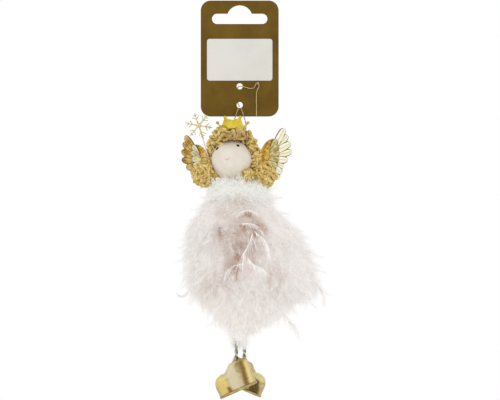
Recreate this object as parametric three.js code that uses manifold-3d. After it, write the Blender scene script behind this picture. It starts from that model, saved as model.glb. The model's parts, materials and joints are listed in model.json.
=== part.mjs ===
// Hanging angel ornament. A feather dress is wound on a turned core, with a ball head, yarn hair,
// a crown, pressed metal wings, a snowflake wand and wire legs that end in pressed metal boots.
// A gold thread ties the figure to its die-cut header card.
// Millimetres, +Z up. The figure faces -Y, and the origin is the peg's seat at the top of the card's slot,
// in the plane of the card's front face.
import * as THREE from "three";
import { mergeVertices } from "three/addons/utils/BufferGeometryUtils.js";
import Module from "manifold-3d";

const { degToRad, lerp } = THREE.MathUtils;

// Gaps between pieces that touch or are glued on the real object
const joinGap = 0.3;
const swingGap = 0.35;

// Header card: the euro slot has the trade's standard length, which scales everything else
const cardWidth = 45;
const cardHeight = 67;
const cardCorner = 5.8;
const cardThickness = 0.6;
const slotLength = 32;
const slotHeight = 5.9;
const slotHumpRadius = 7.5;
const slotHumpRise = 4.85;
const cardAboveSlot = 2.8;
const labelWidth = 37.8;
const labelHeight = 24.1;
const labelCorner = 1.5;
const labelThickness = 0.2;
const labelAbovePunch = 3.3;
const punchRadius = 1.8;
const punchSpacing = 10.8;
const punchAboveEdge = 6.65;

// Hanger thread
const threadDiameter = 0.6;
const strandSpread = 6.8;
const strandDepthInHair = 8.1;
const knotSize = 2.2;

// Head, crown and hair
const headRadius = 11.7;
const headOffset = -4.7;
const crownGap = 0.35;
const crownPoints = 6;
const crownBaseRadius = 5.2;
const crownTipRadius = 8.6;
const crownRise = 6.1;
const crownValley = 4.2;
const crownSheet = 0.6;
const crownBall = 0.95;
const crownTilt = 24;
const crownForward = 4.2;
const hairCap = 3.3;
const hairNape = 4;
const fringeRadius = 4.3;
const templeRadius = { right: 2.5, left: 1.4 };
const fringeForward = 2.2;
const sideRollRadius = { right: 2.4, left: 1.6 };
const sideRollForward = { right: 0.4, left: -2.2 };
const bunchRadius = 6.9;
const bunchHeight = 7.6;
const bunchDrop = { right: 0.855, left: 0.632 };
const bunchOut = { right: 6, left: 4.9 };
const bunchForward = 0.8;
const chinCurl = { radius: 3.4, forward: 3.6, angle: -43 };
const rollTwists = 3;

// Core, neck peg and dress
const bodyLean = 4.2;
const poise = 0.2;
const coreLength = 84;
const coreTopRadius = 4.6;
const coreShoulder = 7;
const coreFootRadius = 10;
const pegRadius = 1.6;
const pegInHead = 7;
const pegInCore = 12;
const collarRadius = 19;
const collarHeight = 19.5;
const collarAside = 2;
const skirtRadius = 38;
const skirtFlatness = 0.82;
const skirtSway = 7.5;
const hemSway = 2.5;
const tuftCount = 7;
const tuftDepth = 0.055;
const legRoomX = 5.6;
const legRoomY = 9.6;

// Wings
const wingSheet = 0.6;
const wingSpread = 14.2;
const wingSweep = 26;
const wingYaw = -8;
const wingLift = 1;
const wingPanel = 13.2;
const wingBlades = 8;
const wingBladeLength = 11.7;
const wingBladeShortest = 7.4;
const wingBladeWidth = 4.8;
const wingCoverts = 6;
const wingCovertLength = 5.2;
const wingCovertInset = 1.8;
const wingFanTop = 58;
const wingFanBottom = -55;
const wingTabWidth = 4;

// Wand
const stickRadius = 0.4;
const stickInCore = 4;
const flakeRadius = 7.7;
const flakeArms = 6;
const flakeBar = 0.85;
const flakeSheet = 0.8;
const flakeTurn = -14;
const flakeUp = 21;
const wandForward = 1.6;
const wandFootBack = 1;

// Legs
const wireRadius = 0.5;
const legLength = 21.7;
const legPitch = 3.4;
const eyeBore = wireRadius + swingGap;
const eyeWire = 0.45;
const eyeShank = 7;
const legSpacingX = 4.7;
const legSpacingY = 10.6;
const legForwardX = -2.1;

// Boots
const footLength = 22.3;
const bootHeight = 14.9;
const bootWidth = 9.4;
const shaftLength = 10.2;
const toeHeight = 10.8;
const toeBulge = 0.5;
const bootWall = 0.7;
const bootRound = 2.9;
const soleThickness = 0.9;
const soleLip = 0.3;
const ankleBelowRim = 2.9;
const ankleFromHeel = 6.9;
const anklePinRadius = 0.5;
const bootTilts = { left: 24, right: 23 };

const wasm = await Module();
wasm.setup();

const sideName = { 1: "right", [-1]: "left" };

// Solids and meshes

function toSolid(geometry, matrix) {
  const bare = geometry.clone();
  bare.deleteAttribute("normal");
  bare.deleteAttribute("uv");
  if (matrix) bare.applyMatrix4(matrix);
  const merged = mergeVertices(bare, 1e-4);
  const triVerts = new Uint32Array(merged.index.array);
  const vertProperties = merged.attributes.position.array;
  return new wasm.Manifold(new wasm.Mesh({ numProp: 3, vertProperties, triVerts }));
}

// The largest body that a cut leaves
function mainBody(solid) {
  const bodies = solid.decompose();
  return bodies.reduce((most, body) => (body.volume() > most.volume() ? body : most));
}

function toGeometry(solid) {
  const mesh = mainBody(solid).getMesh();
  const geometry = new THREE.BufferGeometry();
  const position = new THREE.BufferAttribute(new Float32Array(mesh.vertProperties), 3);
  geometry.setAttribute("position", position);
  geometry.setIndex(new THREE.BufferAttribute(new Uint32Array(mesh.triVerts), 1));
  geometry.computeVertexNormals();
  return geometry;
}

function finish(color, roughness, metalness) {
  return new THREE.MeshStandardMaterial({ color, roughness, metalness });
}

const cardFinish = finish(0x7a6030, 0.55, 0.1);
const labelFinish = finish(0xdedbd2, 0.8, 0);
const threadFinish = finish(0xb49a55, 0.4, 0.5);
const headFinish = finish(0xe6dccb, 0.6, 0);
const woodFinish = finish(0xc8a878, 0.75, 0);
const hairFinish = finish(0xc0a15a, 0.85, 0);
const crownFinish = finish(0xd8c232, 0.4, 0.7);
const wingFinish = finish(0xd2b25a, 0.3, 0.9);
const whiteFeather = finish(0xefece6, 0.9, 0);
const blushFeather = finish(0xe2d6cd, 0.9, 0);
const stickFinish = finish(0xeee6e2, 0.6, 0);
const wireFinish = finish(0xb9b6a0, 0.3, 0.9);
const bootFinish = finish(0xc9b06a, 0.3, 0.9);

function addPiece(group, name, geometry, material) {
  const mesh = new THREE.Mesh(geometry, material);
  mesh.name = name;
  group.add(mesh);
  return mesh;
}

// A plate in the XZ plane that runs from y = 0 back by its thickness
function plate(shape, thickness, curveSegments = 6) {
  const options = { depth: thickness, bevelEnabled: false, curveSegments };
  const geometry = new THREE.ExtrudeGeometry(shape, options);
  return geometry.rotateX(Math.PI / 2).translate(0, thickness, 0);
}

// A solid turned about Z from [radius, height] corners that run from the lowest to the highest
function turned(corners, segments) {
  const profile = corners.map(([radius, height]) => new THREE.Vector2(radius, height));
  return new THREE.LatheGeometry(profile, segments).rotateX(Math.PI / 2);
}

// A round rod between two points
function rod(start, end, radius, sides = 10) {
  const along = end.clone().sub(start);
  const geometry = new THREE.CylinderGeometry(radius, radius, along.length(), sides);
  const upright = new THREE.Vector3(0, 1, 0);
  const turn = new THREE.Quaternion().setFromUnitVectors(upright, along.clone().normalize());
  const middle = start.clone().addScaledVector(along, 0.5);
  return geometry.applyQuaternion(turn).translate(middle.x, middle.y, middle.z);
}

function ball(radius, across, up) {
  return new THREE.SphereGeometry(radius, across, up).rotateX(Math.PI / 2);
}

// A tube of round section along a curve
function tube(curve, radius, steps, sides = 8) {
  const section = new THREE.Shape().absarc(0, 0, radius, 0, 2 * Math.PI);
  const options = { extrudePath: curve, steps, curveSegments: sides / 2, bevelEnabled: false };
  return new THREE.ExtrudeGeometry(section, options);
}

// A closed solid swept along a curve, where ring(share) gives the section at that share of the way
function sweep(curve, steps, ring) {
  const frames = curve.computeFrenetFrames(steps, false);
  const positions = [];
  const indices = [];
  const sides = ring(0).length;
  const put = (centre, i, [u, v]) => {
    const point = centre.clone().addScaledVector(frames.normals[i], u);
    point.addScaledVector(frames.binormals[i], v);
    positions.push(point.x, point.y, point.z);
  };
  for (let i = 0; i <= steps; i++) {
    const centre = curve.getPointAt(i / steps);
    for (const corner of ring(i / steps)) put(centre, i, corner);
  }
  for (let i = 0; i < steps; i++) {
    for (let j = 0; j < sides; j++) {
      const here = i * sides + j;
      const next = i * sides + ((j + 1) % sides);
      indices.push(here, next, next + sides, here, next + sides, here + sides);
    }
  }
  const last = steps * sides;
  const ends = (steps + 1) * sides;
  put(curve.getPointAt(0), 0, [0, 0]);
  put(curve.getPointAt(1), steps, [0, 0]);
  for (let j = 0; j < sides; j++) {
    const next = (j + 1) % sides;
    indices.push(ends, next, j, ends + 1, last + j, last + next);
  }
  const geometry = new THREE.BufferGeometry();
  geometry.setAttribute("position", new THREE.Float32BufferAttribute(positions, 3));
  geometry.setIndex(indices);
  return geometry;
}

// The section of a roll of twisted yarn or wire with round lobes
function twistedRing(radius, lobes, depth, turn, sides) {
  const corners = [];
  for (let j = 0; j < sides; j++) {
    const angle = (2 * Math.PI * j) / sides;
    const reach = radius * (1 - depth + depth * Math.cos(lobes * (angle - turn)));
    corners.push([reach * Math.cos(angle), reach * Math.sin(angle)]);
  }
  return corners;
}

// Header card and its blank label

const cardTop = cardAboveSlot;
const cardBottom = cardTop - cardHeight;
const slotTop = -slotHumpRise;
const slotBottom = slotTop - slotHeight;
const lowerPunch = cardBottom + punchAboveEdge;
const upperPunch = lowerPunch + punchSpacing;
const labelBottom = upperPunch + labelAbovePunch;
const labelTop = labelBottom + labelHeight;

function roundedPlate(width, top, bottom, corner) {
  const half = width / 2 - corner;
  const shape = new THREE.Shape();
  shape.absarc(half, top - corner, corner, 0, Math.PI / 2);
  shape.absarc(-half, top - corner, corner, Math.PI / 2, Math.PI);
  shape.absarc(-half, bottom + corner, corner, Math.PI, 1.5 * Math.PI);
  shape.absarc(half, bottom + corner, corner, 1.5 * Math.PI, 2 * Math.PI);
  return shape;
}

function euroSlot() {
  const end = slotHeight / 2;
  const straight = slotLength / 2 - end;
  const middle = (slotTop + slotBottom) / 2;
  const humpStart = Math.asin((slotHumpRadius - slotHumpRise) / slotHumpRadius);
  const slot = new THREE.Path();
  slot.absarc(straight, middle, end, -Math.PI / 2, Math.PI / 2);
  slot.absarc(0, -slotHumpRadius, slotHumpRadius, humpStart, Math.PI - humpStart);
  slot.absarc(-straight, middle, end, Math.PI / 2, 1.5 * Math.PI);
  return slot;
}

function headerCard() {
  const shape = roundedPlate(cardWidth, cardTop, cardBottom, cardCorner);
  const punches = [upperPunch, lowerPunch].map((height) => {
    return new THREE.Path().absarc(0, height, punchRadius, 0, 2 * Math.PI);
  });
  shape.holes.push(euroSlot(), ...punches);
  return plate(shape, cardThickness, 6);
}

function blankLabel() {
  const shape = roundedPlate(labelWidth, labelTop, labelBottom, labelCorner);
  return plate(shape, labelThickness, 4).translate(0, -labelThickness, 0);
}

// The thread's lead on the card: in at the lower punch, up behind the card, out at the upper punch,
// over a small arch at the knot and down as a free tail. Heights are above the lower punch
const threadRadius = threadDiameter / 2;
const leadPoints = [
  [-0.2, -0.55, -0.95],
  [-0.3, 0, -0.55],
  [-0.6, 0.6, 0.15],
  [-1.1, 1.1, 1.55],
  [-1.5, 1.2, 4.05],
  [-1.6, 1.2, 7.05],
  [-1.5, 1.2, 9.15],
  [-1, 0.95, 10.35],
  [-0.1, 0.35, 10.75],
  [0.9, -0.35, 10.75],
  [2.2, -0.75, 10.55],
  [4, -0.8, 10.05],
  [6, -0.8, 9.55],
  [7.6, -0.8, 9.75],
  [8.6, -0.8, 10.35],
  [9, -0.85, 11.35],
  [9.5, -0.95, 12.25],
  [10.4, -1.1, 12.55],
  [11.1, -1.2, 11.85],
  [11.1, -1.25, 10.65],
  [10.4, -1.2, 9.15],
  [9.8, -1, 7.35],
  [9.65, -0.85, 4.55],
  [9.65, -0.8, 0.55],
  [9.65, -0.8, -3.45],
  [9.65, -0.8, -6.45],
];
const leadCurve = new THREE.CatmullRomCurve3(
  leadPoints.map(([x, y, above]) => new THREE.Vector3(x, y, lowerPunch + above)),
);
const knotShare = 17 / (leadPoints.length - 1);
const leadSteps = 32;

function hangerKnot() {
  const centre = leadCurve.getPoint(knotShare);
  const lump = ball(knotSize / 2, 8, 6).translate(centre.x, centre.y, centre.z);
  const passage = tube(leadCurve, threadRadius + joinGap / 2, leadSteps);
  return toGeometry(toSolid(lump).subtract(toSolid(passage)));
}

// Places of the figure. Each follows from the sizes above it, from the card down to the boots
const hangY = -(joinGap + threadRadius);
const crownSlope = degToRad(crownTilt);
const crownTurn = Math.PI / crownPoints - Math.PI / 2;
const crownReach = crownTipRadius * Math.cos(Math.PI / crownPoints);
const crownTop = crownRise * Math.cos(crownSlope) + crownReach * Math.sin(crownSlope) + crownBall;
const crownSeat = cardBottom - crownGap - crownTop;
const headCentre = new THREE.Vector3(headOffset, hangY + poise, crownSeat - hairCap - headRadius);
const coreTop = -(headRadius + joinGap);
const coreFoot = coreTop - coreLength;
const hipDrop = coreFoot - joinGap - eyeWire - eyeBore;

const root = new THREE.Group();
const figure = new THREE.Group();
figure.position.copy(headCentre);
figure.rotation.y = -degToRad(bodyLean);
root.add(figure);
figure.updateMatrixWorld(true);
const inFigure = (x, y, z) => figure.worldToLocal(new THREE.Vector3(x, y, z));

// Hanger loop: two strands that spread from the lower punch to the hair, and the bight under it
const strandTop = lowerPunch - punchRadius + threadRadius;
const strandFoot = crownSeat + crownRise;
const bightFoot = strandFoot - strandDepthInHair;
const half = strandSpread / 2;
const loopPoints = [
  [-threadDiameter, hangY, strandTop],
  [-half * 0.7, hangY, lerp(strandTop, strandFoot, 0.55)],
  [-half, hangY, strandFoot],
  [-half, hangY, lerp(strandFoot, bightFoot, 0.6)],
  [-half * 0.6, hangY, bightFoot],
  [half * 0.6, hangY, bightFoot],
  [half, hangY, lerp(strandFoot, bightFoot, 0.6)],
  [half, hangY, strandFoot],
  [half * 0.7, hangY, lerp(strandTop, strandFoot, 0.55)],
  [threadDiameter, hangY, strandTop],
];
const loopCurve = new THREE.CatmullRomCurve3(loopPoints.map((p) => inFigure(...p)));

// Core, neck peg and head

function bodyCore(grow = 0) {
  const shoulder = coreTop - coreShoulder;
  const edge = 2;
  return turned(
    [
      [0, coreFoot - grow],
      [coreFootRadius - edge + grow, coreFoot - grow],
      [coreFootRadius + grow, coreFoot + edge],
      [coreShoulder + grow, shoulder],
      [coreTopRadius + grow, coreTop + grow],
      [0, coreTop + grow],
    ],
    24,
  );
}

function neckPeg(grow = 0) {
  const top = new THREE.Vector3(0, 0, coreTop + joinGap + pegInHead + grow);
  const foot = new THREE.Vector3(0, 0, coreTop - pegInCore - grow);
  return rod(foot, top, pegRadius + grow, 12);
}

// Wand: a stick that stands in the core's shoulder, leans just clear of the head and carries the
// snowflake in front of its top
const stickEntryX = -Math.sqrt(coreShoulder ** 2 - wandFootBack ** 2);
const stickEntry = new THREE.Vector3(stickEntryX, wandFootBack, coreTop - 2 * coreShoulder);
const entryToHead = Math.hypot(stickEntry.x, stickEntry.z);
const headSide = Math.asin((headRadius + joinGap + stickRadius) / entryToHead);
const stickLean = headSide - Math.atan2(-stickEntry.x, -stickEntry.z);
const flakeLeft = Math.tan(stickLean) * (flakeUp - stickEntry.z) - stickEntry.x;
const stickTop = new THREE.Vector3(-flakeLeft, -wandForward, flakeUp);
const stickLine = stickEntry.clone().sub(stickTop).normalize();
const stickFoot = stickEntry.clone().addScaledVector(stickLine, stickInCore);

function wandStick(grow = 0) {
  const foot = stickFoot.clone().addScaledVector(stickLine, grow);
  return rod(foot, stickTop, stickRadius + grow, 8);
}

function snowflake() {
  const arm = flakeRadius;
  const bar = flakeBar / 2;
  const twigRoot = 0.56 * arm;
  const twig = 0.34 * arm;
  const lean = degToRad(48);
  const twigEnd = twigRoot + twig * Math.cos(lean);
  const twigReach = twig * Math.sin(lean) + bar;
  const slantAlong = bar * Math.sin(lean);
  const slantAcross = bar * Math.cos(lean);
  const outline = [];
  const step = (2 * Math.PI) / flakeArms;
  const hub = bar / Math.sin(step / 2);
  for (let k = 0; k < flakeArms; k++) {
    const turn = degToRad(flakeTurn) + k * step;
    const side = [
      [twigRoot, bar],
      [twigEnd - slantAlong, twigReach + slantAcross],
      [twigEnd + slantAlong, twigReach - slantAcross],
      [twigRoot + (2 * bar) / Math.sin(lean), bar],
      [arm, bar * 0.8],
    ];
    const corners = [
      ...side.map(([along, across]) => [along, -across]),
      ...side.reverse(),
      [hub * Math.cos(step / 2), hub * Math.sin(step / 2)],
    ];
    for (const [along, across] of corners) {
      const x = along * Math.cos(turn) - across * Math.sin(turn);
      const z = along * Math.sin(turn) + across * Math.cos(turn);
      outline.push(new THREE.Vector2(x, z));
    }
  }
  const front = stickTop.y - stickRadius - joinGap - flakeSheet;
  return plate(new THREE.Shape(outline), flakeSheet).translate(stickTop.x, front, stickTop.z);
}

// Wings. Long blades above and short ones below fan from a shoulder panel, whose tab runs to the core.
// The drawing is the right wing in its own plane: x outwards, z up, from the shoulder's root
const bladeRootTop = new THREE.Vector2(0.78 * wingPanel, 0.4 * wingPanel);
const bladeRootFoot = new THREE.Vector2(0.55 * wingPanel, -0.6 * wingPanel);

const wingTurn = degToRad(wingSweep);
const tabReach = wingSpread / Math.cos(wingTurn) - 1.2;
const wingBack = 0.9 * coreShoulder + joinGap + tabReach * Math.sin(wingTurn);

function leaf(length, width) {
  const shape = new THREE.Shape();
  shape.moveTo(-0.2 * length, -0.25 * width);
  shape.bezierCurveTo(0.3 * length, -0.62 * width, 0.85 * length, -0.6 * width, length, -0.05 * width);
  shape.bezierCurveTo(0.95 * length, 0.45 * width, 0.4 * length, 0.55 * width, -0.2 * length, 0.25 * width);
  return shape;
}

function blade(length, width, angle, rootPoint, layer) {
  return plate(leaf(length, width), wingSheet, 3)
    .rotateY(-degToRad(angle))
    .translate(rootPoint.x, layer, rootPoint.y);
}

function shoulderPanel() {
  const unit = wingPanel;
  const shape = new THREE.Shape();
  shape.moveTo(0, -wingTabWidth);
  shape.bezierCurveTo(0, 0.3 * unit, 0.4 * unit, 0.75 * unit, bladeRootTop.x, 0.72 * unit);
  shape.lineTo(bladeRootTop.x + 1, bladeRootTop.y);
  shape.lineTo(bladeRootFoot.x + 0.5, bladeRootFoot.y);
  shape.quadraticCurveTo(0.2 * unit, -0.5 * unit, 0, -wingTabWidth);
  return plate(shape, wingSheet, 6);
}

// The strip from the shoulder's root down to the core, grown where a neighbour needs room for it
function wingTab(grow = 0) {
  const drop = coreTop - coreShoulder - wingLift;
  const band = wingTabWidth / 2 + grow;
  const shape = new THREE.Shape();
  shape.moveTo(1.5, -wingTabWidth - band);
  shape.lineTo(1.5, -wingTabWidth + band);
  shape.lineTo(-tabReach - grow, drop + wingTabWidth + band);
  shape.lineTo(-tabReach - grow, drop + wingTabWidth - band);
  return plate(shape, wingSheet + 2 * grow, 4).translate(0, -grow, 0);
}

function wingPlace(side) {
  const sweepBack = new THREE.Matrix4().makeRotationZ(wingTurn);
  const place = new THREE.Matrix4().makeTranslation(wingSpread, wingBack, wingLift).multiply(sweepBack);
  if (side < 0) place.premultiply(new THREE.Matrix4().makeScale(-1, 1, 1));
  return place.premultiply(new THREE.Matrix4().makeRotationZ(degToRad(wingYaw)));
}

function mirrored(geometry, matrix) {
  const moved = geometry.index ? geometry.toNonIndexed() : geometry.clone();
  moved.applyMatrix4(matrix);
  if (matrix.determinant() > 0) return moved;
  const position = moved.attributes.position;
  const from = new THREE.Vector3();
  const to = new THREE.Vector3();
  for (let i = 0; i < position.count; i += 3) {
    from.fromBufferAttribute(position, i + 1);
    to.fromBufferAttribute(position, i + 2);
    position.setXYZ(i + 1, to.x, to.y, to.z);
    position.setXYZ(i + 2, from.x, from.y, from.z);
  }
  return moved;
}

function wing(side) {
  const pieces = [shoulderPanel(), wingTab()];
  const point = new THREE.Vector2();
  const layer = wingSheet / 2;
  for (let i = 0; i < wingBlades; i++) {
    const share = i / (wingBlades - 1);
    const length = lerp(wingBladeLength, wingBladeShortest, THREE.MathUtils.smoothstep(share, 0.4, 0.7));
    point.lerpVectors(bladeRootTop, bladeRootFoot, share);
    const angle = lerp(wingFanTop, wingFanBottom, share);
    pieces.push(blade(length, wingBladeWidth, angle, point, (i % 2) * layer));
  }
  for (let i = 0; i < wingCoverts; i++) {
    const share = i / (wingCoverts - 1);
    point.lerpVectors(bladeRootTop, bladeRootFoot, lerp(0.05, 0.85, share));
    point.x -= wingCovertInset;
    const angle = lerp(wingFanTop, wingFanBottom, share);
    pieces.push(blade(wingCovertLength, wingBladeWidth * 0.85, angle, point, -layer * (1 + (i % 2) * 0.5)));
  }
  const place = wingPlace(side);
  const solids = pieces.map((geometry) => toSolid(mirrored(geometry, place)));
  return toGeometry(solids.reduce((whole, solid) => whole.add(solid)));
}

// Crown: a flared band whose points end in balls, with a valley at the front

const crownFlare = (height) => lerp(crownBaseRadius, crownTipRadius, height / crownRise);

// The ring of hair that the band presses aside
function crownRing(grow) {
  const top = crownRise + crownBall;
  return turned(
    [
      [crownFlare(0) - grow, -grow],
      [crownFlare(0) + crownSheet + grow, -grow],
      [crownFlare(top) + crownSheet + grow, top],
      [crownFlare(top) - grow, top],
      [crownFlare(0) - grow, -grow],
    ],
    20,
  );
}

function crown() {
  const columns = crownPoints * 4;
  const heights = [0, crownRise, crownValley + 0.35 * (crownRise - crownValley), crownValley];
  const positions = [];
  const indices = [];
  for (let c = 0; c < columns; c++) {
    const angle = (2 * Math.PI * c) / columns + crownTurn;
    const phase = Math.abs(((c + 2) % 4) - 2);
    const top = heights[1 + phase];
    const rim = [
      [crownFlare(0) + crownSheet, 0],
      [crownFlare(top) + crownSheet * 0.6, top],
      [crownFlare(top), top],
      [crownFlare(0), 0],
    ];
    for (const [radius, height] of rim) {
      positions.push(radius * Math.cos(angle), radius * Math.sin(angle), height);
    }
  }
  for (let c = 0; c < columns; c++) {
    for (let k = 0; k < 4; k++) {
      const here = c * 4 + k;
      const up = c * 4 + ((k + 1) % 4);
      const beside = ((c + 1) % columns) * 4 + k;
      const besideUp = ((c + 1) % columns) * 4 + ((k + 1) % 4);
      indices.push(here, beside, besideUp, here, besideUp, up);
    }
  }
  const band = new THREE.BufferGeometry();
  band.setAttribute("position", new THREE.Float32BufferAttribute(positions, 3));
  band.setIndex(indices);
  let whole = toSolid(band);
  for (let p = 0; p < crownPoints; p++) {
    const angle = (2 * Math.PI * p) / crownPoints + crownTurn;
    const x = crownTipRadius * Math.cos(angle);
    const y = crownTipRadius * Math.sin(angle);
    whole = whole.add(toSolid(ball(crownBall, 6, 4).translate(x, y, crownRise)));
  }
  return toGeometry(whole);
}

const crownPlace = new THREE.Vector3(1.1, -crownForward, headRadius + hairCap);

// Yarn hair: a cap on the back of the head, a roll over the brow, a roll down each cheek and two bunches

function headRing(angle, distance, forward) {
  return new THREE.Vector3(distance * Math.cos(angle), -forward, distance * Math.sin(angle));
}

function browRoll(grow = 0) {
  const start = degToRad(24);
  const spread = Math.PI - 2 * start;
  const points = [];
  const count = 9;
  const temple = (share) => lerp(templeRadius.right, templeRadius.left, share);
  const radiusAt = (share) => lerp(temple(share), fringeRadius, Math.sin(Math.PI * share)) + grow;
  for (let i = 0; i < count; i++) {
    const share = i / (count - 1);
    const distance = headRadius + joinGap + radiusAt(share) - grow;
    points.push(headRing(start + spread * share, distance, fringeForward));
  }
  const curve = new THREE.CatmullRomCurve3(points);
  const turns = 2 * Math.PI * rollTwists;
  return sweep(curve, 20, (share) => twistedRing(radiusAt(share), 3, 0.12, turns * share, 9));
}

function bunchCentre(side) {
  const across = headRadius + joinGap + bunchOut[sideName[side]];
  return new THREE.Vector3(side * across, -bunchForward, -bunchDrop[sideName[side]] * headRadius);
}

function cheekRoll(side, grow = 0) {
  const centre = bunchCentre(side);
  const name = sideName[side];
  const distance = headRadius + joinGap + sideRollRadius[name];
  const points = [18, 6, -7, -18].map((angle) => {
    return headRing(degToRad(side > 0 ? angle : 180 - angle), distance, sideRollForward[name]);
  });
  points.push(new THREE.Vector3(centre.x - side * 2, centre.y + 1, centre.z + 3));
  const curve = new THREE.CatmullRomCurve3(points);
  const radius = sideRollRadius[name] + grow;
  return sweep(curve, 12, (share) => twistedRing(radius, 3, 0.13, side * 2 * Math.PI * share * 2, 6));
}

// A bunch of curls: a ball whose surface swells and dips in rows
function curlBunch(side, grow = 0) {
  const geometry = ball(1, 16, 9);
  const centre = bunchCentre(side);
  const position = geometry.attributes.position;
  const point = new THREE.Vector3();
  for (let i = 0; i < position.count; i++) {
    point.fromBufferAttribute(position, i);
    const round = Math.atan2(point.y, point.x);
    const up = Math.asin(THREE.MathUtils.clamp(point.z, -1, 1));
    const curl = 1 + 0.1 * Math.cos(6 * round + 4 * up) * Math.cos(up) * Math.cos(5 * up);
    point.multiply(new THREE.Vector3(bunchRadius, bunchRadius * 0.9, bunchHeight)).multiplyScalar(curl);
    point.setLength(point.length() + grow).add(centre);
    position.setXYZ(i, point.x, point.y, point.z);
  }
  return geometry;
}

// The right bunch also has a curl that tucks in under the chin
function bunchSolid(side, grow = 0) {
  const bunch = toSolid(curlBunch(side, grow));
  if (side < 0) return bunch;
  const { radius, forward, angle } = chinCurl;
  const place = headRing(degToRad(angle), headRadius + radius, forward);
  return bunch.add(toSolid(ball(radius + grow, 10, 7).translate(place.x, place.y, place.z)));
}

function hairShell() {
  const outer = toSolid(ball(headRadius + hairCap, 18, 10));
  const inner = toSolid(ball(headRadius + 3 * joinGap, 18, 10));
  const size = 4 * headRadius;
  const keep = new THREE.BoxGeometry(size, size, size).translate(0, size / 2 + 0.5, size / 2 - hairNape);
  return outer.subtract(inner).intersect(toSolid(keep));
}

// Feather dress. Each row is a turned form with swelling tufts, flattened front to back and swayed aside

// The same profile moved outwards along its own normals
function grownProfile(profile, grow) {
  return profile.map(([radius, height], i) => {
    const [beforeRadius, beforeHeight] = profile[Math.max(i - 1, 0)];
    const [afterRadius, afterHeight] = profile[Math.min(i + 1, profile.length - 1)];
    const normal = new THREE.Vector2(afterHeight - beforeHeight, beforeRadius - afterRadius);
    normal.setLength(1.4 * grow);
    return [radius > 0 ? radius + normal.x : 0, height + normal.y];
  });
}

function plume(profile, phase, sway, grow = 0) {
  const grown = grow > 0 ? grownProfile(profile, grow) : profile;
  const geometry = turned(grown, tuftCount * 4);
  const position = geometry.attributes.position;
  const span = coreFoot - coreTop;
  for (let i = 0; i < position.count; i++) {
    const x = position.getX(i);
    const y = position.getY(i);
    const z = position.getZ(i);
    const round = Math.atan2(y, x);
    const tuft = 1 + tuftDepth * Math.cos(tuftCount * round + phase);
    const low = THREE.MathUtils.smoothstep((z - coreTop) / span, 0.12, 0.7);
    position.setXYZ(i, x * tuft + sway * low, y * tuft * skirtFlatness, z);
  }
  return geometry;
}

const drop = (share) => coreTop + share * (coreFoot - coreTop);
const wide = (share) => skirtRadius * share;
const dressRows = {
  bottom: [
    [0, drop(1.06)],
    [wide(0.12), drop(1.075)],
    [wide(0.28), drop(1.04)],
    [wide(0.56), drop(0.963)],
    [wide(0.76), drop(0.85)],
    [wide(0.86), drop(0.775)],
    [wide(0.8), drop(0.67)],
    [wide(0.66), drop(0.52)],
    [0, drop(0.46)],
  ],
  middle: [
    [0, drop(0.48)],
    [wide(0.72), drop(0.64)],
    [wide(0.97), drop(0.74)],
    [wide(1.02), drop(0.68)],
    [wide(0.95), drop(0.53)],
    [wide(0.76), drop(0.38)],
    [wide(0.45), drop(0.27)],
    [0, drop(0.25)],
  ],
  top: [
    [0, drop(0.22)],
    [wide(0.5), drop(0.36)],
    [wide(0.84), drop(0.48)],
    [wide(0.91), drop(0.43)],
    [wide(0.8), drop(0.32)],
    [wide(0.6), drop(0.235)],
    [wide(0.36), drop(0.18)],
    [0, drop(0.17)],
  ],
};
const rowPhase = { bottom: 0, middle: Math.PI, top: 0.6 };
const rowSway = { bottom: hemSway, middle: skirtSway, top: skirtSway };

function collarPlume() {
  const high = coreTop + 0.12 * collarHeight;
  const low = high - collarHeight;
  const profile = [
    [0, low],
    [collarRadius * 0.8, low + 0.03 * collarHeight],
    [collarRadius, low + 0.36 * collarHeight],
    [collarRadius * 0.88, low + 0.74 * collarHeight],
    [collarRadius * 0.55, high],
    [0, high],
  ];
  return plume(profile, 0.3, skirtSway).translate(collarAside, 0, 0);
}

// Room at the foot of the dress for the legs to swing in
function legRoom() {
  const top = coreFoot - joinGap;
  const foot = drop(1.2);
  return turned(
    [
      [0, foot],
      [1.25, foot],
      [1, top],
      [0, top],
    ],
    20,
  )
    .scale(legRoomX, legRoomY, 1)
    .translate(legForwardX, 0, 0);
}

// Hips: an eye under the core for each leg. Its ring stands across X, so the leg swings about X

function hipPoint(side) {
  return new THREE.Vector3(legForwardX + (side * legSpacingX) / 2, (side * legSpacingY) / 2, hipDrop);
}

function ringAcross(axis, radius, wire) {
  const ring = new THREE.TorusGeometry(radius, wire, 6, 10);
  return axis === "x" ? ring.rotateY(Math.PI / 2) : ring.rotateX(Math.PI / 2);
}

function hipEye(side) {
  const centre = hipPoint(side);
  const ring = ringAcross("x", eyeBore + eyeWire, eyeWire);
  const low = new THREE.Vector3(0, 0, eyeBore + eyeWire * 0.6);
  const high = new THREE.Vector3(0, 0, eyeBore + eyeWire + eyeShank);
  const whole = toSolid(ring).add(toSolid(rod(low, high, eyeWire, 8)));
  return toGeometry(whole).translate(centre.x, centre.y, centre.z);
}

function shankHole(side) {
  const centre = hipPoint(side);
  const high = centre.clone().setZ(centre.z + eyeBore + eyeWire + eyeShank + joinGap);
  return rod(centre.clone().setZ(coreFoot - 2), high, eyeWire + joinGap, 10);
}

// A leg hangs straight down from its hip: an eye, a twisted shank and an eye for the boot's pin.
// Its own origin is the hip's axis
const legEye = anklePinRadius + swingGap + wireRadius;

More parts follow.
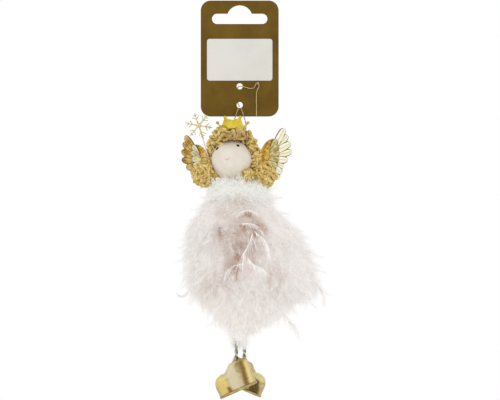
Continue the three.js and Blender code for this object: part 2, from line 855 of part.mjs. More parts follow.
function legWire() {
  const topRing = ringAcross("y", legEye, wireRadius).translate(0, 0, -legEye);
  const footRing = ringAcross("y", legEye, wireRadius).translate(0, 0, -legLength);
  const start = new THREE.Vector3(0, 0, -2 * legEye + wireRadius * 0.5);
  const end = new THREE.Vector3(0, 0, -legLength + legEye - wireRadius * 0.5);
  const turns = start.distanceTo(end) / legPitch;
  const shank = sweep(new THREE.LineCurve3(start, end), 22, (share) => {
    return twistedRing(2 * wireRadius, 2, 0.22, 2 * Math.PI * turns * share, 6);
  });
  return toGeometry(toSolid(topRing).add(toSolid(shank)).add(toSolid(footRing)));
}

// Boots. The drawing has the heel at x = 0, the toe along +X and the upper's lower edge at z = 0

function bootOutline(inset) {
  const under = -bootRound - 1;
  const over = bootHeight + bootRound + 1;
  const toeEnd = footLength - inset;
  const toeTop = toeHeight - inset;
  const shape = new THREE.Shape();
  shape.moveTo(inset, under);
  shape.lineTo(toeEnd, under);
  shape.lineTo(toeEnd, 0.45 * toeHeight);
  shape.quadraticCurveTo(toeEnd, toeTop, footLength - 0.5 * toeHeight, toeTop);
  shape.lineTo(shaftLength + 0.42 * toeHeight - inset, toeTop);
  shape.lineTo(shaftLength - inset, bootHeight - inset);
  shape.lineTo(shaftLength - inset, over);
  shape.lineTo(inset - 0.5, over);
  return shape;
}

function pillow(shape, width, round) {
  const options = {
    depth: width - 2 * round,
    bevelThickness: round,
    bevelSize: round,
    bevelOffset: -round,
    bevelSegments: 3,
    curveSegments: 6,
  };
  const geometry = new THREE.ExtrudeGeometry(shape, options);
  return geometry.rotateX(Math.PI / 2).translate(0, width / 2 - round, 0);
}

function slab(low, high) {
  const size = 4 * footLength;
  return toSolid(new THREE.BoxGeometry(size, size, high - low).translate(0, 0, (low + high) / 2));
}

// The pressed form of the upper, or of the space inside it when inset by the sheet's thickness
function bootForm(inset) {
  const body = toSolid(pillow(bootOutline(inset), bootWidth - 2 * inset, bootRound - inset));
  const toe = ball(1, 14, 9);
  toe.scale(0.27 * footLength - inset, bootWidth / 2 + toeBulge - inset, 0.62 * toeHeight - inset);
  toe.translate(0.74 * footLength, 0, 0.42 * toeHeight);
  return body.add(toSolid(toe));
}

function bootUpper() {
  const outer = bootForm(0).intersect(slab(0, bootHeight));
  const inner = bootForm(bootWall).intersect(slab(bootWall, 2 * bootHeight));
  return toGeometry(outer.subtract(inner));
}

function bootSole() {
  const heel = 0.44 * bootWidth;
  const halfWidth = bootWidth / 2 + soleLip;
  const shape = new THREE.Shape();
  shape.moveTo(heel, -halfWidth);
  shape.lineTo(footLength - halfWidth, -halfWidth - toeBulge * 0.6);
  shape.absarc(footLength - halfWidth, 0, halfWidth + toeBulge * 0.6, -Math.PI / 2, Math.PI / 2);
  shape.lineTo(heel, halfWidth);
  shape.quadraticCurveTo(-soleLip, halfWidth, -soleLip, 0);
  shape.quadraticCurveTo(-soleLip, -halfWidth, heel, -halfWidth);
  const options = { depth: soleThickness, bevelEnabled: false, curveSegments: 8 };
  return new THREE.ExtrudeGeometry(shape, options).translate(0, 0, -joinGap - soleThickness);
}

function anklePin() {
  const reach = bootWidth / 2 - bootWall - joinGap;
  const height = bootHeight - ankleBelowRim;
  const near = new THREE.Vector3(ankleFromHeel, -reach, height);
  const far = new THREE.Vector3(ankleFromHeel, reach, height);
  return rod(near, far, anklePinRadius, 12);
}

// Assembly

function cutTo(geometry, ...cuts) {
  return toGeometry(cuts.reduce((whole, cut) => whole.subtract(cut), toSolid(geometry)));
}

addPiece(root, "header_card", headerCard(), cardFinish);
addPiece(root, "blank_label", blankLabel(), labelFinish);
addPiece(root, "hanger_lead", tube(leadCurve, threadRadius, leadSteps), threadFinish);
addPiece(root, "hanger_knot", hangerKnot(), threadFinish);
addPiece(figure, "hanger_loop", tube(loopCurve, threadRadius, 20), threadFinish);

const loopRoom = toSolid(tube(loopCurve, threadRadius + joinGap, 20, 6));
const headRoom = toSolid(ball(headRadius + 3 * joinGap, 18, 10));
const pegRoom = toSolid(neckPeg(joinGap / 2));
const stickRoom = toSolid(wandStick(joinGap / 2));
const coreRoom = toSolid(bodyCore(joinGap));
const tabRoom = [1, -1].map((side) => toSolid(mirrored(wingTab(joinGap), wingPlace(side))));
const bunchRoom = [1, -1].map((side) => bunchSolid(side, joinGap));
const cheekRoom = [1, -1].map((side) => toSolid(cheekRoll(side, joinGap)));
const browRoom = toSolid(browRoll(joinGap));

addPiece(figure, "head", cutTo(ball(headRadius, 24, 14), pegRoom), headFinish);
addPiece(figure, "neck_peg", neckPeg(), woodFinish);
const hipHoles = [1, -1].map((side) => toSolid(shankHole(side)));
addPiece(figure, "body_core", cutTo(bodyCore(), pegRoom, stickRoom, ...hipHoles), woodFinish);

const crownMesh = addPiece(figure, "crown", crown(), crownFinish);
crownMesh.position.copy(crownPlace);
crownMesh.rotation.x = -crownSlope;
crownMesh.updateMatrix();
const crownRoom = toSolid(crownRing(joinGap), crownMesh.matrix);

addPiece(figure, "hair_brow", cutTo(browRoll(), loopRoom, crownRoom, stickRoom), hairFinish);
const capCuts = [browRoom, loopRoom, crownRoom, stickRoom, ...bunchRoom, ...cheekRoom];
const cap = capCuts.reduce((whole, cut) => whole.subtract(cut), hairShell());
addPiece(figure, "hair_cap", toGeometry(cap), hairFinish);

for (const side of [1, -1]) {
  const bunch = bunchSolid(side).subtract(headRoom).subtract(stickRoom);
  addPiece(figure, `hair_bunch_${sideName[side]}`, toGeometry(bunch), hairFinish);
  const cheek = cutTo(cheekRoll(side), ...bunchRoom, browRoom, headRoom, stickRoom);
  addPiece(figure, `hair_cheek_${sideName[side]}`, cheek, hairFinish);
  addPiece(figure, `wing_${sideName[side]}`, wing(side), wingFinish);
}

addPiece(figure, "wand_stick", wandStick(), stickFinish);
addPiece(figure, "snowflake", snowflake(), crownFinish);

const dressRow = (name, grow = 0) => plume(dressRows[name], rowPhase[name], rowSway[name], grow);
const rowRoom = (name) => toSolid(dressRow(name, joinGap));
const collarCuts = [rowRoom("top"), coreRoom, headRoom, stickRoom, ...tabRoom, ...bunchRoom];
addPiece(figure, "collar_feathers", cutTo(collarPlume(), ...collarCuts), whiteFeather);
const topCuts = [rowRoom("middle"), coreRoom, stickRoom, ...tabRoom];
addPiece(figure, "skirt_top_row", cutTo(dressRow("top"), ...topCuts), blushFeather);
const middleRow = cutTo(dressRow("middle"), rowRoom("bottom"), coreRoom);
addPiece(figure, "skirt_middle_row", middleRow, blushFeather);
const bottomRow = cutTo(dressRow("bottom"), coreRoom, toSolid(legRoom()));
addPiece(figure, "skirt_bottom_row", bottomRow, blushFeather);

for (const side of [1, -1]) {
  const name = sideName[side];
  addPiece(figure, `hip_eye_${name}`, hipEye(side), wireFinish);
  const leg = new THREE.Group();
  leg.position.copy(figure.localToWorld(hipPoint(side)));
  addPiece(leg, `leg_wire_${name}`, legWire(), wireFinish);
  const boot = new THREE.Group();
  boot.position.z = -legLength;
  boot.rotation.set(0, degToRad(bootTilts[name]), side > 0 ? 0 : Math.PI, "ZYX");
  const drawing = new THREE.Group();
  drawing.position.set(-ankleFromHeel, 0, ankleBelowRim - bootHeight);
  addPiece(drawing, `boot_upper_${name}`, bootUpper(), bootFinish);
  addPiece(drawing, `boot_sole_${name}`, bootSole(), bootFinish);
  addPiece(drawing, `ankle_pin_${name}`, anklePin(), wireFinish);
  boot.add(drawing);
  leg.add(boot);
  root.add(leg);
}

export default root;
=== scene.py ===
import json
import math
import random

import bmesh
import bpy
from mathutils import Matrix, Vector
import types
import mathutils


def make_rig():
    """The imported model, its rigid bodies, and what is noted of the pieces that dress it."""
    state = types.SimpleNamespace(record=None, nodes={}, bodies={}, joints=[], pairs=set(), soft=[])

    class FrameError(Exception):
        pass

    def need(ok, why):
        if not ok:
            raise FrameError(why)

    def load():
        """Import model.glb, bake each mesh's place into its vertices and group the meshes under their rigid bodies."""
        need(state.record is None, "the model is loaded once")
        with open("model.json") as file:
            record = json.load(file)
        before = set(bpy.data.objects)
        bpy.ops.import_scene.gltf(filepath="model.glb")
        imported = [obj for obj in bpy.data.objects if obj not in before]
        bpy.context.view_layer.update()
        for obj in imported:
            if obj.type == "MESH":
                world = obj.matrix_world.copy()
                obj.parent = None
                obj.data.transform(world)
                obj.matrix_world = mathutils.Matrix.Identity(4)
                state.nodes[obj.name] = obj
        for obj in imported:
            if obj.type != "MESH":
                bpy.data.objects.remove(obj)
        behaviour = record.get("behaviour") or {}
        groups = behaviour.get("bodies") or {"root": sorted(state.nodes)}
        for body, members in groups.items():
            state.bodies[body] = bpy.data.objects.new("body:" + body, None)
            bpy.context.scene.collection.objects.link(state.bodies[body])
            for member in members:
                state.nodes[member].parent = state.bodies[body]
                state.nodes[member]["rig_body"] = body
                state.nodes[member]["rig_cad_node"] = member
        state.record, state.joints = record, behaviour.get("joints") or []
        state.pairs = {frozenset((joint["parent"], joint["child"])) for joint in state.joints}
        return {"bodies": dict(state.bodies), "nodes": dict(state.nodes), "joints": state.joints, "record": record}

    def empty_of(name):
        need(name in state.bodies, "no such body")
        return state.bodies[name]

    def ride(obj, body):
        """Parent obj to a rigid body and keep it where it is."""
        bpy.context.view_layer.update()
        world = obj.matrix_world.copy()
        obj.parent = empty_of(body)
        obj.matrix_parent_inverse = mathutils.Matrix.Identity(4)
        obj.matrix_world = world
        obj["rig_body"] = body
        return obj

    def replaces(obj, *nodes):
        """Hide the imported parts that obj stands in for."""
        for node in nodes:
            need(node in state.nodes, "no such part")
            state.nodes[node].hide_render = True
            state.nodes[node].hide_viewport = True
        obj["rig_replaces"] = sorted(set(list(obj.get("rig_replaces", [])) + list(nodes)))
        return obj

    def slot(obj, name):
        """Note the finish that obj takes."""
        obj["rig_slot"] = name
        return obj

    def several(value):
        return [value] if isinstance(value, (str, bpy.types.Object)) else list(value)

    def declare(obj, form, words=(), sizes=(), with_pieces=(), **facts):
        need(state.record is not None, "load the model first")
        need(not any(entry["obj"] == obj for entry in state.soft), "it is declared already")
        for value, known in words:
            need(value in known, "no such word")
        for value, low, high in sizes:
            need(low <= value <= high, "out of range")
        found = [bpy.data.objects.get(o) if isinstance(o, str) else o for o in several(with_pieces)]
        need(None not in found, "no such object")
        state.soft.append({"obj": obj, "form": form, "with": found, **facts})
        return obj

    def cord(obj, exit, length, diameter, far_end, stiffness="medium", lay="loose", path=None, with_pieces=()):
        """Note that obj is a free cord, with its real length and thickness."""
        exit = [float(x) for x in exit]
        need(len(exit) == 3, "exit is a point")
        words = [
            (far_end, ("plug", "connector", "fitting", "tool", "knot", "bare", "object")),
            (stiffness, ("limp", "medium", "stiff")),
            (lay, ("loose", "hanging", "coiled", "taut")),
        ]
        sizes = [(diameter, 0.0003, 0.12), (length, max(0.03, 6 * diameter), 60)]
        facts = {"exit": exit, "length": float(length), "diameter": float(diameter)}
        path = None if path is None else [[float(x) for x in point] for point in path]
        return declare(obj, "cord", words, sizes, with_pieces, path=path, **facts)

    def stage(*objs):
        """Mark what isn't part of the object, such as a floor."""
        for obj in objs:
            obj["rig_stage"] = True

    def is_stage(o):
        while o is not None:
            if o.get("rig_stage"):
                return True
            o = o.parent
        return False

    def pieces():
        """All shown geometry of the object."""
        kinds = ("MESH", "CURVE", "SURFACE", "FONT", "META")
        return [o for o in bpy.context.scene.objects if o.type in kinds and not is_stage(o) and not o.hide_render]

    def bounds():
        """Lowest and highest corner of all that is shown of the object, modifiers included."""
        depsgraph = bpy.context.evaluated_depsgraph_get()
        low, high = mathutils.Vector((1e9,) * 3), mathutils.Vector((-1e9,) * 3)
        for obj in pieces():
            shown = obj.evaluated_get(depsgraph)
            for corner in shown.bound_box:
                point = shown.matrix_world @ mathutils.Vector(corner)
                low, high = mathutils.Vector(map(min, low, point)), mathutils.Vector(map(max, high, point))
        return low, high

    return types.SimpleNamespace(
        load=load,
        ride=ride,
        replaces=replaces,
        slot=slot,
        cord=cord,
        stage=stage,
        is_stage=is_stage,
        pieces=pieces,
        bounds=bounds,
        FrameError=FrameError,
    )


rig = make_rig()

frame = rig.load()
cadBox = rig.bounds()
scene = bpy.context.scene
scene.view_settings.view_transform = "Standard"
mm = 0.001
sideAxis, backAxis, upAxis = Vector((1, 0, 0)), Vector((0, 1, 0)), Vector((0, 0, 1))


def mix(a, b, share):
    return a + (b - a) * share


def smooth(low, high, value):  # soft step from 0 to 1
    share = min(max((value - low) / (high - low), 0), 1)
    return share * share * (3 - 2 * share)


def moved(place):
    return Matrix.Translation(Vector(place) * mm)


def turned(degrees, axis):
    return Matrix.Rotation(math.radians(degrees), 4, axis)


def addObject(name, data):
    made = bpy.data.objects.new(name, data)
    scene.collection.objects.link(made)
    return made


figure = {"headCentre": (-4.7, -0.4, -89.1019), "lean": -4.2}  # centre in mm, lean in degrees
figurePlace = moved(figure["headCentre"]) @ turned(figure["lean"], "Y")


# camera, light and backdrop

studio = {
    "distance": 3.0, "aimX": 0.00595, "aimZ": -0.1124, "viewWidth": 0.28875, "sensor": 36,
    "ambient": 0.92, "floorDrop": 0.075, "floorSize": 1.4,
    "lamps": [  # place, size and power
        ((-0.9, -1.5, 0.9), 1.1, 3.0),
        ((1.2, -1.3, 0.2), 1.0, 1.4),
        ((0.1, 1.2, 0.9), 1.0, 1.2),
    ],
}


def makeCamera():
    data = bpy.data.cameras.new("photoCamera")
    data.sensor_width = studio["sensor"]
    data.lens = studio["sensor"] * studio["distance"] / studio["viewWidth"]
    data.clip_end = 50
    camera = addObject("photoCamera", data)
    camera.location = (studio["aimX"], -studio["distance"], studio["aimZ"])
    camera.rotation_euler = (math.pi / 2, 0, 0)
    scene.camera = camera


def makeLamps():
    middle = (cadBox[0] + cadBox[1]) / 2
    for place, size, power in studio["lamps"]:
        data = bpy.data.lights.new("softLamp", "AREA")
        data.shape = "DISK"
        data.size = size
        data.energy = power
        lamp = addObject("softLamp", data)
        lamp.location = place
        lamp.rotation_euler = (middle - Vector(place)).to_track_quat("-Z", "Y").to_euler()


class Wire:  # one socket of a node tree, with arithmetic
    def __init__(self, tree, socket=None):
        self.tree = tree
        self.socket = socket

    def node(self, kind, settings, sockets, output=0):
        made = self.tree.nodes.new(kind)
        for key, value in settings.items():
            if key == "stops":
                fillRamp(made.color_ramp, value)
            else:
                setattr(made, key, value)
        for key, value in sockets.items():
            if isinstance(value, Wire):
                self.tree.links.new(value.socket, made.inputs[key])
            else:
                made.inputs[key].default_value = value
        return Wire(self.tree, made.outputs[output] if len(made.outputs) else None)

    def sums(self, operation, first, second):
        return self.node("ShaderNodeMath", {"operation": operation}, {0: first, 1: second})

    def __add__(self, other):
        return self.sums("ADD", self, other)

    def __radd__(self, other):
        return self.sums("ADD", other, self)

    def __sub__(self, other):
        return self.sums("SUBTRACT", self, other)

    def __rsub__(self, other):
        return self.sums("SUBTRACT", other, self)

    def __mul__(self, other):
        return self.sums("MULTIPLY", self, other)

    def __rmul__(self, other):
        return self.sums("MULTIPLY", other, self)


def fillRamp(ramp, stops):
    while len(ramp.elements) > len(stops):
        ramp.elements.remove(ramp.elements[-1])
    while len(ramp.elements) < len(stops):
        ramp.elements.new(1)
    for element, (place, value) in zip(ramp.elements, stops):
        element.position = place
        element.color = value


def tone(red, green, blue):  # screen colour, 0 to 255, as a linear one
    def linear(value):
        value /= 255
        return value / 12.92 if value <= 0.04045 else ((value + 0.055) / 1.055) ** 2.4
    return (linear(red), linear(green), linear(blue), 1)


def grey(value):
    return (value, value, value, 1)


def blank(name):
    material = bpy.data.materials.new(name)
    material.use_nodes = True
    material.node_tree.nodes.clear()
    return material, Wire(material.node_tree)


def blendTones(wire, share, first, second):
    return wire.node("ShaderNodeMix", {"data_type": "RGBA"}, {0: share, 6: first, 7: second}, 2)


def objectPlace(wire, scale=(1, 1, 1)):
    place = wire.node("ShaderNodeTexCoord", {}, {}, 3)
    return wire.node("ShaderNodeMapping", {}, {0: place, 3: scale})


def surfaceSpot(wire, layer="surfaceMap"):  # the two values of a UV map
    place = wire.node("ShaderNodeUVMap", {"uv_map": layer}, {})
    along = wire.node("ShaderNodeSeparateXYZ", {}, {0: place})
    return along, Wire(wire.tree, along.socket.node.outputs[1])


def speckle(wire, place, scale, detail=3, rough=0.5):
    sockets = {"Vector": place, "Scale": scale, "Detail": detail, "Roughness": rough}
    return wire.node("ShaderNodeTexNoise", {}, sockets)


def sine(wire, value):
    return wire.node("ShaderNodeMath", {"operation": "SINE"}, {0: value})


def vectors(wire, operation, sockets, output=0):
    return wire.node("ShaderNodeVectorMath", {"operation": operation}, sockets, output)


def between(wire, value, low, high):  # soft step from low to high
    sockets = {0: value, 1: low, 2: high, 3: 0.0, 4: 1.0}
    return wire.node("ShaderNodeMapRange", {"interpolation_type": "SMOOTHSTEP"}, sockets)


def bump(wire, height, strength, distance):
    sockets = {"Height": height, "Strength": strength, "Distance": distance}
    return wire.node("ShaderNodeBump", {}, sockets)


def surface(wire, sockets):  # closes a material
    shader = wire.node("ShaderNodeBsdfPrincipled", {}, sockets)
    wire.node("ShaderNodeOutputMaterial", {}, {0: shader})


def makeWorld():  # white to look at, a little dimmer as light
    world = bpy.data.worlds.new("whiteRoom")
    scene.world = world
    world.use_nodes = True
    world.node_tree.nodes.clear()
    wire = Wire(world.node_tree)
    path = wire.node("ShaderNodeLightPath", {}, {})
    rays = [Wire(wire.tree, path.socket.node.outputs[key]) for key in
            ("Is Camera Ray", "Is Glossy Ray", "Is Transmission Ray")]
    seen = wire.sums("MAXIMUM", rays[0], wire.sums("MAXIMUM", rays[1], rays[2]))
    fill = wire.node("ShaderNodeBackground", {}, {0: grey(1), 1: studio["ambient"]})
    white = wire.node("ShaderNodeBackground", {}, {0: grey(1), 1: 1.0})
    both = wire.node("ShaderNodeMixShader", {}, {0: seen, 1: fill, 2: white})
    wire.node("ShaderNodeOutputWorld", {}, {0: both})


def makeFloor():
    size = studio["floorSize"] / 2
    low = cadBox[0].z - studio["floorDrop"]
    mesh = bpy.data.meshes.new("paleFloor")
    corners = [(x * size, y * size, low) for x, y in ((-1, -1), (1, -1), (1, 1), (-1, 1))]
    mesh.from_pydata(corners, [], [(0, 1, 2, 3)])
    floor = addObject("paleFloor", mesh)
    material, wire = blank("paleFloor")
    cloud = speckle(wire, objectPlace(wire), 6)
    surface(wire, {"Base Color": blendTones(wire, cloud, grey(0.86), grey(0.9)), "Roughness": 0.9})
    mesh.materials.append(material)
    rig.stage(floor)


makeCamera()
makeLamps()
makeWorld()
makeFloor()
print("studio ready")


# forms

def around(count, shift=0):  # cosine and sine of the angles of a ring
    for j in range(count):
        angle = 2 * math.pi * (j + shift) / count
        yield math.cos(angle), math.sin(angle)


class Form:  # gathers the faces of one piece
    def __init__(self):
        self.points = []
        self.faces = []
        self.corners = []
        self.slots = []

    def face(self, indices, spots, slot):
        self.faces.append(indices)
        self.corners.extend(spots)
        self.slots.append(slot)

    def grid(self, rows, closed=False, ends=False, slot=0, spot=None):
        spot = spot or (lambda i, j: (i / max(len(rows) - 1, 1), j / len(rows[0])))
        start = len(self.points)
        width = len(rows[0])
        for row in rows:
            self.points.extend(row)
        for i in range(len(rows) - 1):
            for j in range(width if closed else width - 1):
                k = (j + 1) % width
                a, b = start + i * width, start + (i + 1) * width
                spots = [spot(i, j), spot(i, j + 1), spot(i + 1, j + 1), spot(i + 1, j)]
                self.face((a + j, a + k, b + k, b + j), spots, slot)
        if ends:
            for i, order in ((0, reversed(range(width))), (len(rows) - 1, range(width))):
                order = list(order)
                indices = tuple(start + i * width + j for j in order)
                self.face(indices, [spot(i, j) for j in order], slot)
        return self

    def tube(self, route, radius, sides=8, slot=0):
        rows = []
        for share, centre, side, up in carried(route):
            size = radius(share) if callable(radius) else radius
            rows.append([centre + side * (size * c) + up * (size * s) for c, s in around(sides)])
        return self.grid(rows, closed=True, ends=True, slot=slot)

    def ball(self, centre, radius, across, up):
        rows = []
        for i in range(up + 1):
            tilt = math.pi * (i + 0.02) / (up + 0.04)  # a tiny ring at each pole
            units = [(math.sin(tilt) * c, math.sin(tilt) * s, math.cos(tilt)) for c, s in around(across)]
            rows.append([Vector(centre) + Vector([a * b for a, b in zip(unit, radius)]) for unit in units])
        return self.grid(rows, closed=True, ends=True)

    def build(self, name, materials, place=None):
        mesh = bpy.data.meshes.new(name)
        points = [place @ Vector(p) for p in self.points] if place else self.points
        mesh.from_pydata([tuple(p) for p in points], [], self.faces)
        layer = mesh.uv_layers.new(name="surfaceMap")
        layer.data.foreach_set("uv", [value for spot in self.corners for value in spot])
        mesh.polygons.foreach_set("material_index", self.slots)
        for material in materials:
            mesh.materials.append(material)
        work = bmesh.new()
        work.from_mesh(mesh)
        bmesh.ops.recalc_face_normals(work, faces=work.faces)
        work.to_mesh(mesh)
        work.free()
        mesh.polygons.foreach_set("use_smooth", [True] * len(mesh.polygons))
        return addObject(name, mesh)


def carried(route):  # centres of a route with a frame that doesn't twist
    count = len(route)
    tangents = []
    for i in range(count):
        tangents.append((route[min(i + 1, count - 1)] - route[max(i - 1, 0)]).normalized())
    side = tangents[0].orthogonal().normalized()
    for i in range(count):
        side = (side - tangents[i] * side.dot(tangents[i])).normalized()
        yield i / (count - 1), route[i], side, tangents[i].cross(side)


def smoothRoute(points, steps):  # Catmull-Rom through the points
    points = [Vector(p) for p in points]
    route = []
    for i in range(len(points) - 1):
        before, here = points[max(i - 1, 0)], points[i]
        there, after = points[i + 1], points[min(i + 2, len(points) - 1)]
        for k in range(steps):
            t = k / steps
            route.append(0.5 * (2 * here + (there - before) * t
                                + (2 * before - 5 * here + 4 * there - after) * t ** 2
                                + (3 * here - before - 3 * there + after) * t ** 3))
    route.append(points[-1])
    return route


def routeLength(route):
    return sum((b - a).length for a, b in zip(route, route[1:]))


def creaseAt(piece, degrees):  # hard edges past this angle
    work = bmesh.new()
    work.from_mesh(piece.data)
    for edge in work.edges:
        if len(edge.link_faces) == 2 and edge.calc_face_angle(0) > math.radians(degrees):
            edge.smooth = False
    work.to_mesh(piece.data)
    work.free()


def weldedCopy(node):  # a CAD node's loose triangles, merged
    mesh = frame["nodes"][node].data.copy()
    work = bmesh.new()
    work.from_mesh(mesh)
    bmesh.ops.remove_doubles(work, verts=work.verts, dist=1e-6)
    return mesh, work


def dress(node, material):  # a CAD piece that shows as it is
    piece = frame["nodes"][node]
    piece.data.materials.clear()
    piece.data.materials.append(material)


def settle(piece, body, slot, *nodes):
    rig.ride(piece, body)
    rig.slot(piece, slot)
    if nodes:
        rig.replaces(piece, *nodes)


# finishes

def cardFinish():
    material, wire = blank("bronzeCard")
    cloud = speckle(wire, objectPlace(wire), 60, 5, 0.6)
    fibre = speckle(wire, objectPlace(wire, (900, 900, 5200)), 1, 3)
    colour = blendTones(wire, between(wire, cloud, 0.3, 0.7), tone(98, 72, 12), tone(118, 90, 20))
    colour = blendTones(wire, fibre * 0.18, colour, tone(78, 58, 10))
    surface(wire, {"Base Color": colour, "Roughness": 0.42 + cloud * 0.2, "Metallic": 0.25,
                   "Normal": bump(wire, fibre, 0.12, 0.0002), "Specular IOR Level": 0.22})
    return material


def labelFinish():
    material, wire = blank("labelPaper")
    fibre = speckle(wire, objectPlace(wire), 1400, 4, 0.7)
    cloud = speckle(wire, objectPlace(wire), 50, 2)
    colour = blendTones(wire, between(wire, cloud, 0.3, 0.7), tone(220, 217, 208), tone(226, 224, 216))
    surface(wire, {"Base Color": colour, "Roughness": 0.62 + fibre * 0.2,
                   "Normal": bump(wire, fibre, 0.1, 0.0001)})
    return material


def threadFinish():
    material, wire = blank("goldThread")
    along, across = surfaceSpot(wire)
    ply = sine(wire, along * 900 + across * (4 * math.pi))
    glint = speckle(wire, objectPlace(wire), 1800, 2)
    colour = blendTones(wire, between(wire, ply, -0.6, 0.8), tone(150, 120, 58), tone(226, 204, 140))
    colour = blendTones(wire, between(wire, glint, 0.56, 0.68) * 0.7, colour, tone(255, 244, 205))
    surface(wire, {"Base Color": colour, "Roughness": 0.35 + glint * 0.2, "Metallic": 0.55,
                   "Normal": bump(wire, ply, 0.5, 0.00008)})
    return material


def paintedFinish(name, low, high, rough, gloss=0.5):  # a painted wooden surface
    material, wire = blank(name)
    cloud = speckle(wire, objectPlace(wire), 160, 4, 0.55)
    grain = speckle(wire, objectPlace(wire, (1, 1, 0.25)), 1500, 3, 0.6)
    colour = blendTones(wire, between(wire, cloud, 0.3, 0.7), low, high)
    surface(wire, {"Base Color": colour, "Roughness": rough + grain * 0.15,
                   "Normal": bump(wire, grain, 0.08, 0.0001), "Specular IOR Level": gloss})
    return material


def woodFinish():
    material, wire = blank("turnedWood")
    ring = wire.node("ShaderNodeTexWave", {"wave_type": "RINGS", "rings_direction": "Z"},
                     {"Vector": objectPlace(wire, (1, 1, 0.08)), "Scale": 700, "Distortion": 3, "Detail": 3})
    colour = blendTones(wire, ring, tone(222, 206, 182), tone(238, 228, 210))
    surface(wire, {"Base Color": colour, "Roughness": 0.6 + ring * 0.15,
                   "Normal": bump(wire, ring, 0.15, 0.0002)})
    return material


def metalFinish(name, dark, light, shine, rough, scale=260, metal=1.0):
    material, wire = blank(name)
    cloud = speckle(wire, objectPlace(wire), scale, 4, 0.6)
    fine = speckle(wire, objectPlace(wire), scale * 9, 2)
    colour = blendTones(wire, between(wire, cloud, 0.32, 0.66), dark, light)
    colour = blendTones(wire, between(wire, fine, 0.58, 0.74) * 0.5, colour, shine)
    surface(wire, {"Base Color": colour, "Roughness": rough + cloud * 0.18, "Metallic": metal,
                   "Normal": bump(wire, cloud + fine * 0.3, 0.15, 0.0003)})
    return material


def wingFinish(name, dark, light, shine, tipShade=0.0):  # pressed gold feathers, dark in the grooves
    material, wire = blank(name)
    along, across = surfaceSpot(wire)
    off = wire.node("ShaderNodeMath", {"operation": "ABSOLUTE"}, {0: across * 2 - 1})
    barb = sine(wire, (along - off * 0.22) * 150)
    groove = between(wire, off, 0.68, 0.9)
    rib = 1 - between(wire, off, 0.02, 0.16)
    cloud = speckle(wire, objectPlace(wire), 330, 3)
    colour = blendTones(wire, between(wire, cloud, 0.3, 0.68), light, shine)
    colour = blendTones(wire, between(wire, barb, -0.2, 0.9) * 0.22, colour, dark)
    colour = blendTones(wire, wire.sums("MAXIMUM", groove * 0.95, rib * 0.4), colour, dark)
    if tipShade:
        colour = blendTones(wire, between(wire, along, 0.84, 1.0) * tipShade, colour, dark)
    surface(wire, {"Base Color": colour, "Roughness": 0.3 + cloud * 0.16, "Metallic": 0.9,
                   "Normal": bump(wire, barb * 0.4 - groove - rib * 0.6, 0.35, 0.00025)})
    return material


def smear(wire, start, end, inner, outer):  # soft streak between two places seen from the front, in mm
    run = (Vector(end) - Vector(start)) * mm
    step = run / run.length_squared
    flat = vectors(wire, "MULTIPLY", {0: objectPlace(wire), 1: (1, 0, 1)})
    off = vectors(wire, "SUBTRACT", {0: flat, 1: (start[0] * mm, 0, start[1] * mm)})
    along = vectors(wire, "DOT_PRODUCT", {0: off, 1: (step.x, 0, step.y)}, 1)
    held = wire.node("ShaderNodeClamp", {}, {0: along})
    near = vectors(wire, "SCALE", {0: (run.x, 0, run.y), "Scale": held})
    gap = vectors(wire, "DISTANCE", {0: off, 1: near}, 1)
    return 1 - between(wire, gap, inner * mm, outer * mm)


def yarnFinish():
    material, wire = blank("curlYarn")
    along, across = surfaceSpot(wire)
    ply = sine(wire, along * 44 + across * (4 * math.pi))
    cloud = speckle(wire, objectPlace(wire), 420, 3, 0.6)
    fuzz = speckle(wire, objectPlace(wire), 2600, 2)
    patch = speckle(wire, objectPlace(wire), 120, 2)
    shade = smear(wire, (-8.0, -76.0), (2.5, -76.0), 1.0, 5.0)  # painted shade under the crown, browner
    colour = blendTones(wire, between(wire, cloud, 0.34, 0.66), tone(206, 172, 84), tone(240, 218, 144))
    # darker in the grooves of the ply: painted shade
    colour = blendTones(wire, between(wire, ply, -0.9, 0.4) * 0.4 + 0.6, tone(156, 116, 44), colour)
    colour = blendTones(wire, between(wire, fuzz, 0.55, 0.7) * 0.4, colour, tone(252, 238, 184))
    colour = blendTones(wire, between(wire, patch, 0.54, 0.7) * 0.2, colour, tone(250, 238, 200))
    colour = blendTones(wire, shade * 0.42, colour, tone(136, 100, 40))
    surface(wire, {"Base Color": colour, "Roughness": 0.85,
                   "Normal": bump(wire, ply + fuzz * 0.6, 0.35, 0.0002)})
    return material


def bootFinish(name, paintedLight):  # gilt hide with fine painted glints and streaks of painted highlight, reflection and shade
    material, wire = blank(name)
    cloud = speckle(wire, objectPlace(wire), 300, 4, 0.6)
    fine = speckle(wire, objectPlace(wire), 2600, 2)
    colour = blendTones(wire, between(wire, cloud, 0.32, 0.66), tone(156, 134, 80), tone(210, 194, 148))
    # streaks of painted highlight, painted reflection and painted shade
    for start, end, inner, outer, paint in paintedLight:
        colour = blendTones(wire, smear(wire, start, end, inner, outer), colour, tone(*paint))
    # fine painted glints
    colour = blendTones(wire, between(wire, fine, 0.56, 0.74) * 0.35, colour, tone(240, 230, 190))
    surface(wire, {"Base Color": colour, "Roughness": 0.34 + cloud * 0.2, "Metallic": 0.75,
                   "Normal": bump(wire, cloud + fine * 0.4, 0.45, 0.0006)})
    return material


def plumeFinish(name, tones, glow):  # colour from root to tip, tinted plume by plume with blush and painted shade
    root, middle, tip, blush, shadeTone = [tone(*shade) for shade in tones]
    material, wire = blank(name)
    along, tint = surfaceSpot(wire, "OFBake")
    stops = [(0.0, root), (0.45, middle), (1.0, tip)]
    colour = wire.node("ShaderNodeValToRGB", {"stops": stops}, {0: along})
    colour = blendTones(wire, between(wire, tint, 0.0, 0.3) * 0.5, colour, blush)
    # painted shade of the hollows, by the tint
    colour = blendTones(wire, between(wire, tint, 0.3, 0.8) * 0.9, colour, shadeTone)
    surface(wire, {"Base Color": colour, "Roughness": 0.9, "Specular IOR Level": 0.15,
                   "Emission Color": colour, "Emission Strength": glow})  # painted glow, in place of light scattered in the down
    return material


